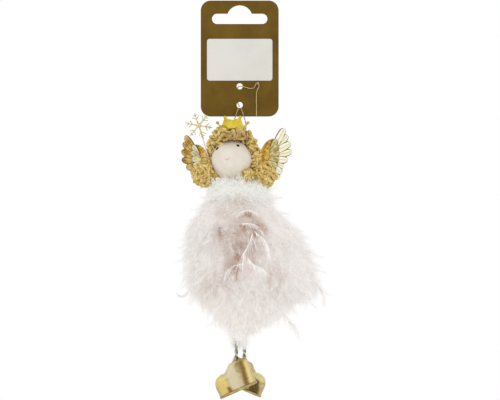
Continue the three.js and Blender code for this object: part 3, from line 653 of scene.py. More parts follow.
bootPaintedLight = {  # painted light on the boots: from, to, inner and outer width in mm, colour
    # left: painted sheen on the side, painted dark reflection on the heel, painted highlight beside it, painted
    # highlight on the toe cap, painted shadow in the toe's crease
    "left": [((-6.5, -208.5), (-2.0, -219.0), 1.5, 5.0, (216, 204, 170)),
             ((0.6, -205.6), (3.8, -217.6), 0.1, 2.7, (132, 100, 36)),
             ((3.5, -205.2), (6.7, -217.2), 0.1, 2.0, (226, 206, 142)),
             ((-11.8, -216.2), (-8.4, -221.8), 2.4, 4.2, (220, 198, 120)),
             ((-6.0, -220.9), (-5.4, -222.2), 0.1, 2.0, (138, 92, 36))],
    # right: painted shadow of the left boot on the side, painted highlight on the toe
    "right": [((8.4, -216.4), (8.0, -222.6), 2.2, 3.6, (100, 76, 32)),
              ((10.5, -213.5), (14.0, -215.5), 1.5, 3.5, (216, 204, 148))],
}
plumeTones = {  # root, middle, tip, blush and painted shade of each plume
    "whitePlume": [(237, 237, 234), (242, 242, 239), (247, 247, 245), (240, 240, 236), (206, 186, 162)],
    "blushPlume": [(235, 231, 228), (241, 239, 237), (248, 247, 246), (237, 232, 229), (180, 144, 116)],
    "shaftPlume": [(244, 241, 238), (248, 246, 244), (250, 249, 248), (246, 243, 240), (214, 202, 188)],
    # hemPlume and hemDown: paler and less blushed than blushPlume, partly painted light against the shade low on the
    # dress
    "hemPlume": [(239, 236, 232), (244, 241, 238), (249, 247, 245), (242, 238, 234), (198, 179, 163)],
    "whiteDown": [(238, 238, 235), (242, 242, 240), (246, 246, 244), (240, 240, 237), (200, 178, 152)],
    "blushDown": [(232, 227, 223), (238, 234, 231), (243, 241, 239), (234, 228, 224), (168, 128, 100)],
    "hemDown": [(240, 236, 232), (244, 240, 237), (247, 244, 241), (242, 237, 233), (188, 166, 148)],
}
# painted glow of each look
plumeGlow = {
    "whitePlume": 0.13, "blushPlume": 0.12, "shaftPlume": 0.12, "hemPlume": 0.13,
    "whiteDown": 0.05, "blushDown": 0.05, "hemDown": 0.05,
}
bronzeCard = cardFinish()
labelPaper = labelFinish()
goldThread = threadFinish()
creamPaint = paintedFinish("creamPaint", tone(227, 218, 203), tone(235, 227, 214), 0.5)
eyePaint = paintedFinish("eyePaint", tone(4, 4, 4), tone(10, 9, 9), 0.85, 0.02)
lipPaint = paintedFinish("lipPaint", tone(226, 164, 164), tone(234, 182, 180), 0.6, 0.2)
stickPaint = paintedFinish("stickPaint", tone(228, 214, 210), tone(242, 234, 230), 0.5)
turnedWood = woodFinish()
crownGold = metalFinish("crownGold", tone(196, 168, 30), tone(226, 206, 62), tone(250, 240, 150), 0.3,
                        metal=0.55)
flakeGold = metalFinish("flakeGold", tone(190, 174, 104), tone(230, 218, 164), tone(255, 252, 230), 0.3, 700)
bootGold = {side: bootFinish("bootGold" + side.capitalize(), bootPaintedLight[side]) for side in bootPaintedLight}
soleGold = metalFinish("soleGold", tone(168, 146, 92), tone(200, 180, 130), tone(226, 212, 164), 0.36)
legMetal = metalFinish("legMetal", tone(172, 172, 164), tone(212, 212, 206), tone(248, 248, 242), 0.22, 900)
# the second wire, darker: partly its own olive-gold tone, partly painted shade of the grooves between the wires
legDark = metalFinish("legDark", tone(118, 120, 96), tone(184, 182, 152), tone(232, 230, 204), 0.26, 900)
pinSteel = metalFinish("pinSteel", tone(150, 148, 140), tone(190, 188, 180), tone(220, 220, 214), 0.3, 900)
paleWing = wingFinish("paleWing", tone(104, 84, 34), tone(255, 247, 204), tone(255, 253, 236))
amberWing = wingFinish("amberWing", tone(84, 52, 12), tone(156, 110, 34), tone(234, 204, 124), 0.7)
covertWing = wingFinish("covertWing", tone(76, 62, 22), tone(172, 152, 84), tone(236, 224, 168))
silverWing = wingFinish("silverWing", tone(92, 82, 38), tone(192, 182, 124), tone(240, 236, 204))
amberShoulder = metalFinish("amberShoulder", tone(128, 88, 22), tone(222, 180, 84), tone(246, 226, 160),
                            0.3, 520)
curlYarn = yarnFinish()
plumeLooks = {name: plumeFinish(name, tones, plumeGlow[name]) for name, tones in plumeTones.items()}
print("finishes ready")


# card and threads

threads = {
    "diameter": 0.6, "sides": 10, "steps": 6,
    "loop": [(-0.6, -0.6, -59.05), (-2.38, -0.6, -63.97), (-3.4, -0.6, -68), (-3.4, -0.6, -72.86),
             (-2.04, -0.6, -76.1), (2.04, -0.6, -76.1), (3.4, -0.6, -72.86), (3.4, -0.6, -68),
             (2.38, -0.6, -63.97), (0.6, -0.6, -59.05)],
    "lead": [(-0.2, -0.55, -58.5), (-0.3, 0, -58.1), (-0.6, 0.6, -57.4), (-1.1, 1.1, -56),
             (-1.5, 1.2, -53.5), (-1.6, 1.2, -50.5), (-1.5, 1.2, -48.4), (-1, 0.95, -47.2),
             (-0.1, 0.35, -46.8), (0.9, -0.35, -46.8), (2.2, -0.75, -47), (4, -0.8, -47.5),
             (6, -0.8, -48), (7.6, -0.8, -47.8), (8.6, -0.8, -47.2), (9, -0.85, -46.2),
             (9.5, -0.95, -45.3), (10.4, -1.1, -45), (11.1, -1.2, -45.7), (11.1, -1.25, -46.9),
             (10.4, -1.2, -48.4), (9.8, -1, -50.2), (9.65, -0.85, -53), (9.65, -0.8, -57),
             (9.65, -0.8, -61), (9.65, -0.8, -64)],
    "knotAt": 17, "knotSize": 0.2448, "knotStrand": 0.252, "knotLobes": 1.6, "knotDepth": 0.9,
    "knotSteps": 72,
}


def makeThread(name, points):
    route = smoothRoute([Vector(p) * mm for p in points], threads["steps"])
    form = Form().tube(route, threads["diameter"] / 2 * mm, threads["sides"])
    return form.build(name, [goldThread]), route


def makeKnot():  # a trefoil, the shape of an overhand knot drawn tight
    centre = Vector(threads["lead"][threads["knotAt"]])
    lobes, depth = threads["knotLobes"], threads["knotDepth"]
    route = []
    for i in range(threads["knotSteps"] + 1):
        t = 2 * math.pi * i / threads["knotSteps"]
        flat = Vector((math.sin(t) + lobes * math.sin(2 * t), -depth * math.sin(3 * t),
                       math.cos(t) - lobes * math.cos(2 * t)))
        route.append((centre + flat * threads["knotSize"]) * mm)
    return Form().tube(route, threads["knotStrand"] * mm).build("thread_knot", [goldThread])


threadLoop, loopRoute = makeThread("thread_loop", threads["loop"])
threadLead, leadRoute = makeThread("thread_lead", threads["lead"])
threadKnot = makeKnot()
settle(threadLoop, "angel", "thread", "hanger_loop")
settle(threadLead, "card", "thread", "hanger_lead")
settle(threadKnot, "card", "thread", "hanger_knot")
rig.cord(threadLoop, exit=loopRoute[0], length=routeLength(loopRoute), diameter=threads["diameter"] * mm,
        far_end="object", stiffness="limp", lay="taut", path=loopRoute)
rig.cord(threadLead, exit=leadRoute[0], length=routeLength(leadRoute), diameter=threads["diameter"] * mm,
        far_end="bare", stiffness="limp", lay="loose", path=leadRoute, with_pieces=[threadKnot])
dress("header_card", bronzeCard)
dress("blank_label", labelPaper)
print("card and threads ready", round(routeLength(loopRoute), 5), round(routeLength(leadRoute), 5))


# head and face

head = {
    "radius": 11.7, "paint": 0.06, "neck": (9.6, 10.8, 11.6, 12.6, 14.2), "neckSize": (4.2, 3.4),
    "across": 64, "rings": 40, "neckSides": 28,
    "eyes": [  # place in shares of the radius, half width, half height, turn
        ((-0.702, 0.55), 1.02, 1.2, -42),
        ((0.318, 0.692), 0.88, 1.04, 40),
    ],
    "eyeRings": 4, "eyeSides": 20, "eyeCentre": 0.03, "eyeDome": 3, "eyeSink": 0.4,
    "mouth": [(-0.355, 0.092), (-0.3, 0.02), (-0.227, -0.01), (-0.14, 0.028), (-0.088, 0.1)],
    "lipEnd": 0.07, "lipMiddle": 0.19, "lipLift": 0.02, "lipSteps": 8,
}


def onHead(across, up):
    front = math.sqrt(max(1 - across ** 2 - up ** 2, 0))
    return (Vector(figure["headCentre"]) + Vector((across, -front, up)) * head["radius"]) * mm


def makeHead():
    form = Form()
    form.ball((0, 0, 0), [head["radius"] * mm] * 3, head["across"], head["rings"])
    neck = [Vector((0, 0, -drop * mm)) for drop in head["neck"]]
    form.tube(neck, lambda share: mix(*head["neckSize"], share) * mm, head["neckSides"])
    return form.build("head_ball", [creamPaint], figurePlace)


def addEye(form, centre, middle, wide, tall, turn):  # a flat dome of paint on the ball
    out = (middle - centre).normalized()
    side = upAxis.cross(out).normalized()
    rise = out.cross(side)
    slant = Matrix.Rotation(math.radians(turn), 3, out)
    side, rise = slant @ side, slant @ rise
    rings = []
    for i in range(head["eyeRings"] + 1):
        share = mix(head["eyeCentre"], 1, i / head["eyeRings"])
        dome = head["eyeDome"] * (1 - share ** 4) - head["eyeSink"]  # sunk at the rim
        lift = head["radius"] + head["paint"] * dome
        ring = []
        for c, s in around(head["eyeSides"]):
            flat = side * (wide * c * share) + rise * (tall * s * share)
            ring.append(centre + (middle + flat * mm - centre).normalized() * lift * mm)
        rings.append(ring)
    form.grid(rings, closed=True, ends=True)


def makeFace():
    def lipSize(share):
        return mix(head["lipEnd"], head["lipMiddle"], math.sin(math.pi * share)) * mm

    form = Form()
    centre = Vector(figure["headCentre"]) * mm
    for place, wide, tall, turn in head["eyes"]:
        addEye(form, centre, onHead(*place), wide, tall, turn)
    lip = smoothRoute([onHead(*place) for place in head["mouth"]], head["lipSteps"])
    reach = (head["radius"] + head["lipLift"]) * mm
    lip = [centre + (p - centre).normalized() * reach for p in lip]
    form.tube(lip, lipSize, slot=1)
    return form.build("painted_face", [eyePaint, lipPaint])


settle(makeHead(), "angel", "face", "head")
settle(makeFace(), "angel", "face")
dress("neck_peg", turnedWood)
dress("body_core", turnedWood)
print("head ready")


# crown, wand and snowflake

crown = {"points": 6, "steps": 12, "base": 5.2, "tip": 8.6, "rise": 6.1, "valley": 4.2, "dip": 1.3,
         "sheet": 0.45, "ball": 0.95, "ballOut": 0.2, "tilt": -24, "roll": 4.2, "place": (1.8, -4.2, 15.6),
         "heights": (0, 0.25, 0.6, 1), "sharp": (1.8, 1.1), "thinning": 0.3, "crease": 40,
         "ballSides": (16, 10), "frontOnly": 6}


def makeCrown():
    def flare(height):
        return mix(crown["base"], crown["tip"], height / crown["rise"])

    def thickness(height):
        return crown["sheet"] * (1 - crown["thinning"] * height / crown["rise"])

    def bearing(turns):  # a valley stands in front
        return 2 * math.pi * (turns + 0.5 / crown["points"] - 0.25)

    form = Form()
    count = crown["points"] * crown["steps"]
    rows = []
    for c in range(count + 1):
        angle = bearing(c / count)
        near = abs(((c / crown["steps"]) + 0.5) % 1 - 0.5) * 2  # 0 at a point, 1 in a valley
        front = max(0, -math.sin(angle)) ** crown["frontOnly"]  # the valley in front is the shallow one
        valley = crown["valley"] - crown["dip"] * (1 - front)
        top = valley + (crown["rise"] - valley) * (1 - near) ** mix(*crown["sharp"], front)
        heights = [share * top for share in crown["heights"]]
        ring = [(flare(z) + thickness(z), z) for z in heights]
        ring += [(flare(z), z) for z in reversed(heights)]
        rows.append([Vector((r * math.cos(angle), r * math.sin(angle), z)) * mm for r, z in ring])
    form.grid(rows, closed=True)
    reach = crown["tip"] + crown["ballOut"]
    for p in range(crown["points"]):
        angle = bearing(p / crown["points"])
        centre = Vector((reach * math.cos(angle), reach * math.sin(angle), crown["rise"])) * mm
        form.ball(centre, [crown["ball"] * mm] * 3, *crown["ballSides"])
    place = figurePlace @ moved(crown["place"]) @ turned(crown["roll"], "Y") @ turned(crown["tilt"], "X")
    piece = form.build("crown_band", [crownGold], place)
    creaseAt(piece, crown["crease"])
    return piece


flake = {"arm": 7.7, "bar": 0.36, "turn": -14, "centre": (-17.37, -2.9, 21.0), "arms": 6, "sheet": 0.34,
         "hub": (1.5, 0.5, 1.5), "twigs": [(0.5, 0.36), (0.74, 0.2)], "twigLean": 50,
         "armTaper": (1.25, 0.7), "twigTaper": (0.85, 0.55), "tipSheet": 0.7, "barSides": 8,
         "hubSides": (18, 10)}


def addBar(form, start, end, wide, thin):  # a rounded bar that tapers
    side = (end - start).normalized().cross(backAxis)
    rows = []
    for share in (0, 0.5, 1):
        half = mix(wide, thin, share) * flake["bar"]
        deep = mix(1, flake["tipSheet"], share) * flake["sheet"]
        ring = []
        for c, s in around(flake["barSides"], 0.5):
            edge = side * half * c + backAxis * deep * s
            ring.append((start.lerp(end, share) + edge) * mm)
        rows.append(ring)
    form.grid(rows, closed=True, ends=True)


def makeFlake():
    def outward(degrees):
        angle = math.radians(degrees)
        return Vector((math.cos(angle), 0, math.sin(angle))) * flake["arm"]

    form = Form()
    for k in range(flake["arms"]):
        bearing = flake["turn"] + 360 / flake["arms"] * k
        arm = outward(bearing)
        addBar(form, Vector((0, 0, 0)), arm, *flake["armTaper"])
        for share, reach in flake["twigs"]:
            for lean in (-flake["twigLean"], flake["twigLean"]):
                twig = outward(bearing + lean) * reach
                addBar(form, arm * share, arm * share + twig, *flake["twigTaper"])
    form.ball((0, 0, 0), [size * mm for size in flake["hub"]], *flake["hubSides"])
    return form.build("flake_star", [flakeGold], figurePlace @ moved(flake["centre"]))


settle(makeCrown(), "angel", "crown_gold", "crown")
settle(makeFlake(), "angel", "wing_gold", "snowflake")
dress("wand_stick", stickPaint)
print("crown and wand ready")


# wings

wings = {
    "spread": 14.2, "sweep": 26, "yaw": -8, "back": 13.0, "lift": 1.0, "sheet": 0.32, "unit": 13.2,
    "arch": [(0, 0.3), (0.4, 0.75)], "archTop": 0.72, "belly": (0.2, -0.5), "crease": 50,
    "blades": 8, "longest": 11.7, "shortest": 7.4, "width": 4.9, "overlap": 0.28, "dome": 0.45, "silvered": 5,
    "coverts": 6, "covertLength": 5.4, "covertWidth": 4.165, "covertDome": 0.4, "covertLayers": (-0.55, -0.7),
    "fan": (58, -55), "rootTop": (10.3, 5.28), "rootFoot": (7.26, -7.92), "inward": 1.8, "tab": 4.0,
    "tabReach": 14.6, "tabDrop": -16.0, "rib": 0.16, "ribWidth": 0.2,
    "bladeSteps": 14, "bladeSides": 9, "domeSpan": (0.12, 0.92), "shortening": (0.4, 0.7),
    "covertSpan": (0.05, 0.85), "tabIn": 1.5, "tabDepth": 0.1, "archSteps": 12, "footSteps": 7,
    "footOut": 0.5, "topOut": 1,
    "lowEdge": [(-0.2, -0.25), (0.3, -0.62), (1.02, -0.66), (1, -0.05)],  # of a blade, in lengths and widths
    "highEdge": [(-0.2, 0.25), (0.4, 0.55), (1.02, 0.52), (1, -0.045)],
    "panel": [  # rings of a panel: share of the way out, depth
        (0.02, -0.5), (0.5, -0.42), (0.92, -0.1), (1, 0.1), (1, 0.32), (0.02, 0.32)],
}


def curved(corners, t):  # Bezier curve
    a, b, c, d = [Vector(p) for p in corners]
    return a * (1 - t) ** 3 + b * 3 * t * (1 - t) ** 2 + c * 3 * t * t * (1 - t) + d * t ** 3


def addBlade(form, length, width, degrees, root, layer, dome, slot):
    steps, sides = wings["bladeSteps"], wings["bladeSides"]

    def column(j):  # across the front and back again
        return j if j < sides else 2 * sides - 1 - j

    def spot(i, j):
        return (i / steps, column(j % (2 * sides)) / (sides - 1))

    angle = math.radians(degrees)
    along = Vector((math.cos(angle), 0, math.sin(angle))) * length
    across = Vector((-math.sin(angle), 0, math.cos(angle))) * width
    rows = []
    for i in range(steps + 1):
        t = i / steps
        low, high = curved(wings["lowEdge"], t), curved(wings["highEdge"], t)
        ring = []
        for j in range(2 * sides):
            c = 2 * column(j) / (sides - 1) - 1
            flat = low.lerp(high, (c + 1) / 2)
            swell = dome * (1 - c * c) * math.sin(math.pi * mix(*wings["domeSpan"], t))
            swell -= wings["rib"] * math.exp(-(c / wings["ribWidth"]) ** 2)
            depth = layer - swell + (wings["sheet"] if j >= sides else 0)
            point = Vector((root[0], depth, root[1])) + along * flat.x + across * flat.y
            ring.append(point * mm)
        rows.append(ring)
    form.grid(rows, closed=True, ends=True, slot=slot, spot=spot)


def addPanel(form, outline, front, slot):  # a domed sheet with an outline in the wing's plane
    middle = sum((Vector(p) for p in outline), Vector((0, 0))) / len(outline)
    rows = []
    for share, depth in wings["panel"]:
        flat = [middle.lerp(Vector(p), share) for p in outline]
        rows.append([Vector((p.x, front + depth, p.y)) * mm for p in flat])
    form.grid(rows, closed=True, ends=True, slot=slot)


def shoulderOutline():  # over the top to the blades' roots and back along the foot
    unit, tab = wings["unit"], Vector((0, -wings["tab"]))
    top, foot = Vector(wings["rootTop"]), Vector(wings["rootFoot"]) + Vector((wings["footOut"], 0))
    arch = [tab, *[Vector(p) * unit for p in wings["arch"]], (top.x, wings["archTop"] * unit)]
    belly = Vector(wings["belly"]) * unit
    outline = [curved(arch, i / wings["archSteps"]) for i in range(wings["archSteps"] + 1)]
    outline += [top + Vector((wings["topOut"], 0)), foot]
    for i in range(1, wings["footSteps"]):
        t = i / wings["footSteps"]
        outline.append(foot * (1 - t) ** 2 + belly * 2 * t * (1 - t) + tab * t * t)
    return outline


def makeWing(side, name, materials):
    form = Form()
    addPanel(form, shoulderOutline(), 0.0, 1)
    tab, half = wings["tab"], wings["tab"] / 2
    strip = [(wings["tabIn"], -tab - half), (wings["tabIn"], -tab + half),
             (-wings["tabReach"], wings["tabDrop"] + half), (-wings["tabReach"], wings["tabDrop"] - half)]
    addPanel(form, strip, wings["tabDepth"], 1)
    top, foot = Vector(wings["rootTop"]), Vector(wings["rootFoot"])
    for i in range(wings["blades"]):
        share = i / (wings["blades"] - 1)
        length = mix(wings["longest"], wings["shortest"], smooth(*wings["shortening"], share))
        slot = 2 if side < 0 and i >= wings["silvered"] else 0  # the left wing's lower blades are silvered
        addBlade(form, length, wings["width"], mix(*wings["fan"], share), top.lerp(foot, share),
                 wings["overlap"] * (i % 2), wings["dome"], slot)
    for i in range(wings["coverts"]):
        share = i / (wings["coverts"] - 1)
        root = top.lerp(foot, mix(*wings["covertSpan"], share)) - Vector((wings["inward"], 0))
        addBlade(form, wings["covertLength"], wings["covertWidth"], mix(*wings["fan"], share), root,
                 wings["covertLayers"][i % 2], wings["covertDome"], 2)
    place = moved((wings["spread"], wings["back"], wings["lift"])) @ turned(wings["sweep"], "Z")
    if side < 0:
        place = Matrix.Scale(-1, 4, sideAxis) @ place
    piece = form.build(name, materials, figurePlace @ turned(wings["yaw"], "Z") @ place)
    creaseAt(piece, wings["crease"])
    return piece


wingRight = makeWing(1, "wing_sheet_right", [paleWing, amberShoulder, covertWing])
settle(wingRight, "angel", "wing_gold", "wing_right")
wingLeft = makeWing(-1, "wing_sheet_left", [amberWing, amberShoulder, silverWing])
settle(wingLeft, "angel", "wing_gold", "wing_left")
print("wings ready")


# legs and boots

legs = {"length": 21.7, "pitch": 6.8, "wire": 0.58, "lay": 0.96, "eye": 1.35, "gap": 0.1,
        "steps": 84, "eyeSteps": 32,
        "hips": {"left": (-1.99, -5.7, -186.7657), "right": (2.6974, 4.9, -186.4215)}}
boots = {  # grain and rounds of smoothing, or the rounded edge, and the swell that closes the seam
    "upper": {"grain": 0.34, "rounds": 4, "ease": 0.5, "swell": 0.2},
    "sole": {"edge": 0.26, "steps": 3, "flat": 2, "corner": 50, "swell": 0.28},  # flat and corner in degrees
}


def makeLeg(side):
    form = Form()
    hip = Vector(legs["hips"][side])
    eye, wire, steps = legs["eye"], legs["wire"], legs["steps"]
    start, end = -2 * eye - legs["gap"], -legs["length"] + eye + legs["gap"]
    for slot, strand in enumerate((0, math.pi)):  # two wires laid round each other
        route = []
        for i in range(steps + 1):
            z = mix(start, end, i / steps)
            turn = strand + 2 * math.pi * (start - z) / legs["pitch"]
            route.append((hip + Vector((wire * math.cos(turn), wire * math.sin(turn), z))) * mm)
        form.tube(route, wire * legs["lay"] * mm, slot=slot)
    for drop in (-eye, -legs["length"]):  # the eye at each end
        ring = []
        for i in range(legs["eyeSteps"] + 1):
            turn = 2 * math.pi * i / legs["eyeSteps"]
            ring.append((hip + Vector((eye * math.cos(turn), 0, drop + eye * math.sin(turn)))) * mm)
        form.tube(ring, wire * mm)
    return form.build(f"leg_twist_{side}", [legMetal, legDark])


def softCopy(node, name, material, style):  # a smoother copy of a pressed sheet
    mesh, work = weldedCopy(node)
    if "edge" in style:
        flat = math.radians(style["flat"])
        bmesh.ops.dissolve_limit(work, angle_limit=flat, verts=work.verts, edges=work.edges)
    work.to_mesh(mesh)
    work.free()
    copy = addObject(name, mesh)
    if "edge" in style:
        bevel = copy.modifiers.new("edge", "BEVEL")
        bevel.width = style["edge"] * mm
        bevel.segments = style["steps"]
        bevel.limit_method = "ANGLE"
        bevel.angle_limit = math.radians(style["corner"])
    else:
        remesh = copy.modifiers.new("round", "REMESH")
        remesh.mode = "VOXEL"
        remesh.voxel_size = style["grain"] * mm
        polish = copy.modifiers.new("polish", "SMOOTH")
        polish.iterations = style["rounds"]
        polish.factor = style["ease"]
    plain = bpy.data.meshes.new_from_object(copy.evaluated_get(bpy.context.evaluated_depsgraph_get()))
    copy.modifiers.clear()
    copy.data = plain
    plain.name = name
    normals = [vert.normal.copy() for vert in plain.vertices]
    for vert, normal in zip(plain.vertices, normals):
        vert.co += normal * style["swell"] * mm
    plain.materials.clear()
    plain.materials.append(material)
    plain.polygons.foreach_set("use_smooth", [True] * len(plain.polygons))
    return copy


for side in ("left", "right"):
    settle(makeLeg(side), f"leg_{side}", "wire", f"leg_wire_{side}")
    for node, name, finish in (("upper", "shell", bootGold[side]), ("sole", "tread", soleGold)):
        copy = softCopy(f"boot_{node}_{side}", f"boot_{name}_{side}", finish, boots[node])
        settle(copy, f"boot_{side}", "boot_gold", f"boot_{node}_{side}")
    dress(f"ankle_pin_{side}", pinSteel)
    dress(f"hip_eye_{side}", pinSteel)
print("legs and boots ready")


# scattering trees

growthInputs = {  # kind of socket and first value
    "Guide": ("Geometry", None), "Forms": ("Collection", None), "Spacing": ("Float", 0.003),
    "Seed": ("Int", 1), "Stray": ("Float", 0.3), "Smallest": ("Float", 0.8), "Largest": ("Float", 1.1),
    "Finish": ("Material", None), "Ground": ("Material", None),
}
tintShares = {"chance": 0.3, "place": 0.7}  # what the tint of a form is made of: chance, and the painted shade of its place
densest = 4e6  # most forms on a square metre, before the spacing thins them


def growthTree(name):  # an empty tree with its named inputs
    tree = bpy.data.node_groups.new(name, "GeometryNodeTree")
    wire = Wire(tree)
    inputs = {}
    for key, (kind, value) in growthInputs.items():
        socket = tree.interface.new_socket(key, in_out="INPUT", socket_type="NodeSocket" + kind)
        if value is not None:
            socket.default_value = value
        inputs[key] = socket.identifier
    tree.interface.new_socket("Piece", in_out="OUTPUT", socket_type="NodeSocketGeometry")
    entry = tree.nodes.new("NodeGroupInput")
    return tree, wire, inputs, entry


def scatterTree(name, keepGuide):  # scatters small forms over a guide, which stays if it is kept
    tree, wire, inputs, entry = growthTree(name)

    def asked(key):
        return Wire(tree, entry.outputs[key])

    def stored(key, kind="FLOAT"):
        return wire.node("GeometryNodeInputNamedAttribute", {"data_type": kind}, {"Name": key})

    def drawn(low, high):  # one random number for each form
        sockets = {2: low, 3: high, "Seed": asked("Seed")}
        return wire.node("FunctionNodeRandomValue", {"data_type": "FLOAT"}, sockets, 1)

    points = wire.node("GeometryNodeDistributePointsOnFaces", {"distribute_method": "POISSON"},
                       {"Mesh": asked("Guide"), "Distance Min": asked("Spacing"), "Density Max": densest,
                        "Density Factor": stored("thick"), "Seed": asked("Seed")})
    jitter = wire.node("FunctionNodeRandomValue", {"data_type": "FLOAT_VECTOR"},
                       {0: (-1, -1, -1), 1: (1, 1, 1), "Seed": asked("Seed")})
    stray = vectors(wire, "SCALE", {0: jitter, "Scale": asked("Stray")})
    aim = vectors(wire, "ADD", {0: stored("grow", "FLOAT_VECTOR"), 1: stray})
    turn = wire.node("FunctionNodeAlignRotationToVector", {"axis": "Z"}, {"Vector": aim})
    spin = wire.node("FunctionNodeAxisAngleToRotation", {}, {"Axis": upAxis, "Angle": drawn(-3.14, 3.14)})
    both = wire.node("FunctionNodeRotateRotation", {"rotation_space": "LOCAL"}, {0: turn, 1: spin})
    forms = wire.node("GeometryNodeCollectionInfo", {},
                      {"Collection": asked("Forms"), "Separate Children": True, "Reset Children": True})
    placed = wire.node("GeometryNodeInstanceOnPoints", {},
                       {"Points": points, "Instance": forms, "Pick Instance": True, "Rotation": both,
                        "Scale": drawn(asked("Smallest"), asked("Largest"))})
    # the tint is partly chance, partly the painted shade of the place
    tint = drawn(0.0, 1.0) * tintShares["chance"] + stored("brown") * tintShares["place"]
    tinted = wire.node("GeometryNodeStoreNamedAttribute", {"data_type": "FLOAT", "domain": "INSTANCE"},
                       {"Geometry": placed, "Name": "tint", "Value": tint})
    real = wire.node("GeometryNodeRealizeInstances", {}, {"Geometry": tinted})
    if keepGuide:
        joined = tree.nodes.new("GeometryNodeJoinGeometry")
        tree.links.new(real.socket, joined.inputs[0])
        tree.links.new(asked("Guide").socket, joined.inputs[0])
        real = Wire(tree, joined.outputs[0])
    spot = wire.node("ShaderNodeCombineXYZ", {}, {0: stored("along"), 1: stored("tint")})
    mapped = wire.node("GeometryNodeStoreNamedAttribute", {"data_type": "FLOAT2", "domain": "CORNER"},
                       {"Geometry": real, "Name": "OFBake", "Value": spot})
    done = wire.node("GeometryNodeSetMaterial", {}, {"Geometry": mapped, "Material": asked("Finish")})
    done = wire.node("GeometryNodeSetMaterial", {},
                     {"Geometry": done, "Selection": stored("ground"), "Material": asked("Ground")})
    leave = tree.nodes.new("NodeGroupOutput")
    tree.links.new(done.socket, leave.inputs[0])
    return tree, inputs


def grown(name, guide, growth, values):  # runs a tree on a guide and keeps the result as a plain mesh
    tree, inputs = growth
    modifier = guide.modifiers.new("growth", "NODES")
    modifier.node_group = tree
    for key, value in values.items():
        modifier[inputs[key]] = value
    evaluated = guide.evaluated_get(bpy.context.evaluated_depsgraph_get())
    mesh = bpy.data.meshes.new_from_object(evaluated)
    guide.modifiers.clear()
    bpy.data.objects.remove(guide)
    mesh.name = name
    print(name, len(mesh.polygons), "faces")
    return addObject(name, mesh)


def formBox(name, pieces):  # a collection outside the scene that holds the small forms
    box = bpy.data.collections.new(name)
    for piece in pieces:
        scene.collection.objects.unlink(piece)
        box.objects.link(piece)
    return box


def setPoints(mesh, name, values):  # a value or a vector on every point
    if isinstance(values[0], Vector):
        layer = mesh.attributes.new(name, "FLOAT_VECTOR", "POINT")
        layer.data.foreach_set("vector", [part for value in values for part in value])
    else:
        layer = mesh.attributes.new(name, "FLOAT", "POINT")
        layer.data.foreach_set("value", values)


# feathers

plumes = {  # two kinds of feather, in mm and degrees
    "down": {"kinds": 7, "shaft": 3.8, "barbs": 30, "barbLength": 4.4, "barbWidth": 0.12, "segments": 3,
             "bend": 0.9, "spread": 54},
    "vane": {"kinds": 4, "shaft": 8.5, "barbs": 60, "barbLength": 5.8, "barbWidth": 0.1, "segments": 4,
             "bend": 3.2, "spread": 36},
}
barbs = {
    "shaftSteps": 5, "shaftWidth": 1.8, "unruly": 10, "curl": 0.16, "hug": 0.12, "sway": 0.2, "waves": 5,
    "first": 0.04, "splay": (1.15, 0.5), "shorten": (1.05, 0.8),  # from the shaft's root to its tip
    "lengths": (0.65, 1.15), "widths": (0.75, 1.2),  # least and most
    "seed": 400, "thinned": 0.8, "taper": 1.5,
    "shaftShades": (0.3, 0.7), "rootShades": (0.3, 0.6), "tipShades": (0.6, 1.0),  # 0 at a root, 1 at a tip
}


class Strands:  # gathers flat strands, each with its share from root to tip
    def __init__(self):
        self.points = []
        self.faces = []
        self.along = []

    def ribbon(self, route, wide, side, first, last):
        start = len(self.points)
        count = len(route)
        for i, centre in enumerate(route[:-1]):
            share = i / (count - 1)
            half = wide / 2 * (1 - barbs["thinned"] * share ** barbs["taper"])
            self.points.extend([(centre + side * half) * mm, (centre - side * half) * mm])
            self.along.extend([mix(first, last, share)] * 2)
        self.points.append(route[-1] * mm)
        self.along.append(last)
        for i in range(count - 2):
            a = start + 2 * i
            self.faces.append((a, a + 1, a + 3, a + 2))
        a = start + 2 * (count - 2)
        self.faces.append((a, a + 1, a + 2))

    def build(self, name):
        mesh = bpy.data.meshes.new(name)
        mesh.from_pydata([tuple(p) for p in self.points], [], self.faces)
        mesh.polygons.foreach_set("use_smooth", [True] * len(mesh.polygons))
        setPoints(mesh, "along", self.along)
        setPoints(mesh, "ground", [0.0] * len(self.points))
        return addObject(name, mesh)


def placeOn(route, place):  # a place along a route, counted in its steps, and the step there
    step = int(place)
    return route[step].lerp(route[step + 1], place % 1), (route[step + 1] - route[step]).normalized()


def strewn(dice):
    return Vector((dice.gauss(0, 1), dice.gauss(0, 1), dice.gauss(0, 1)))


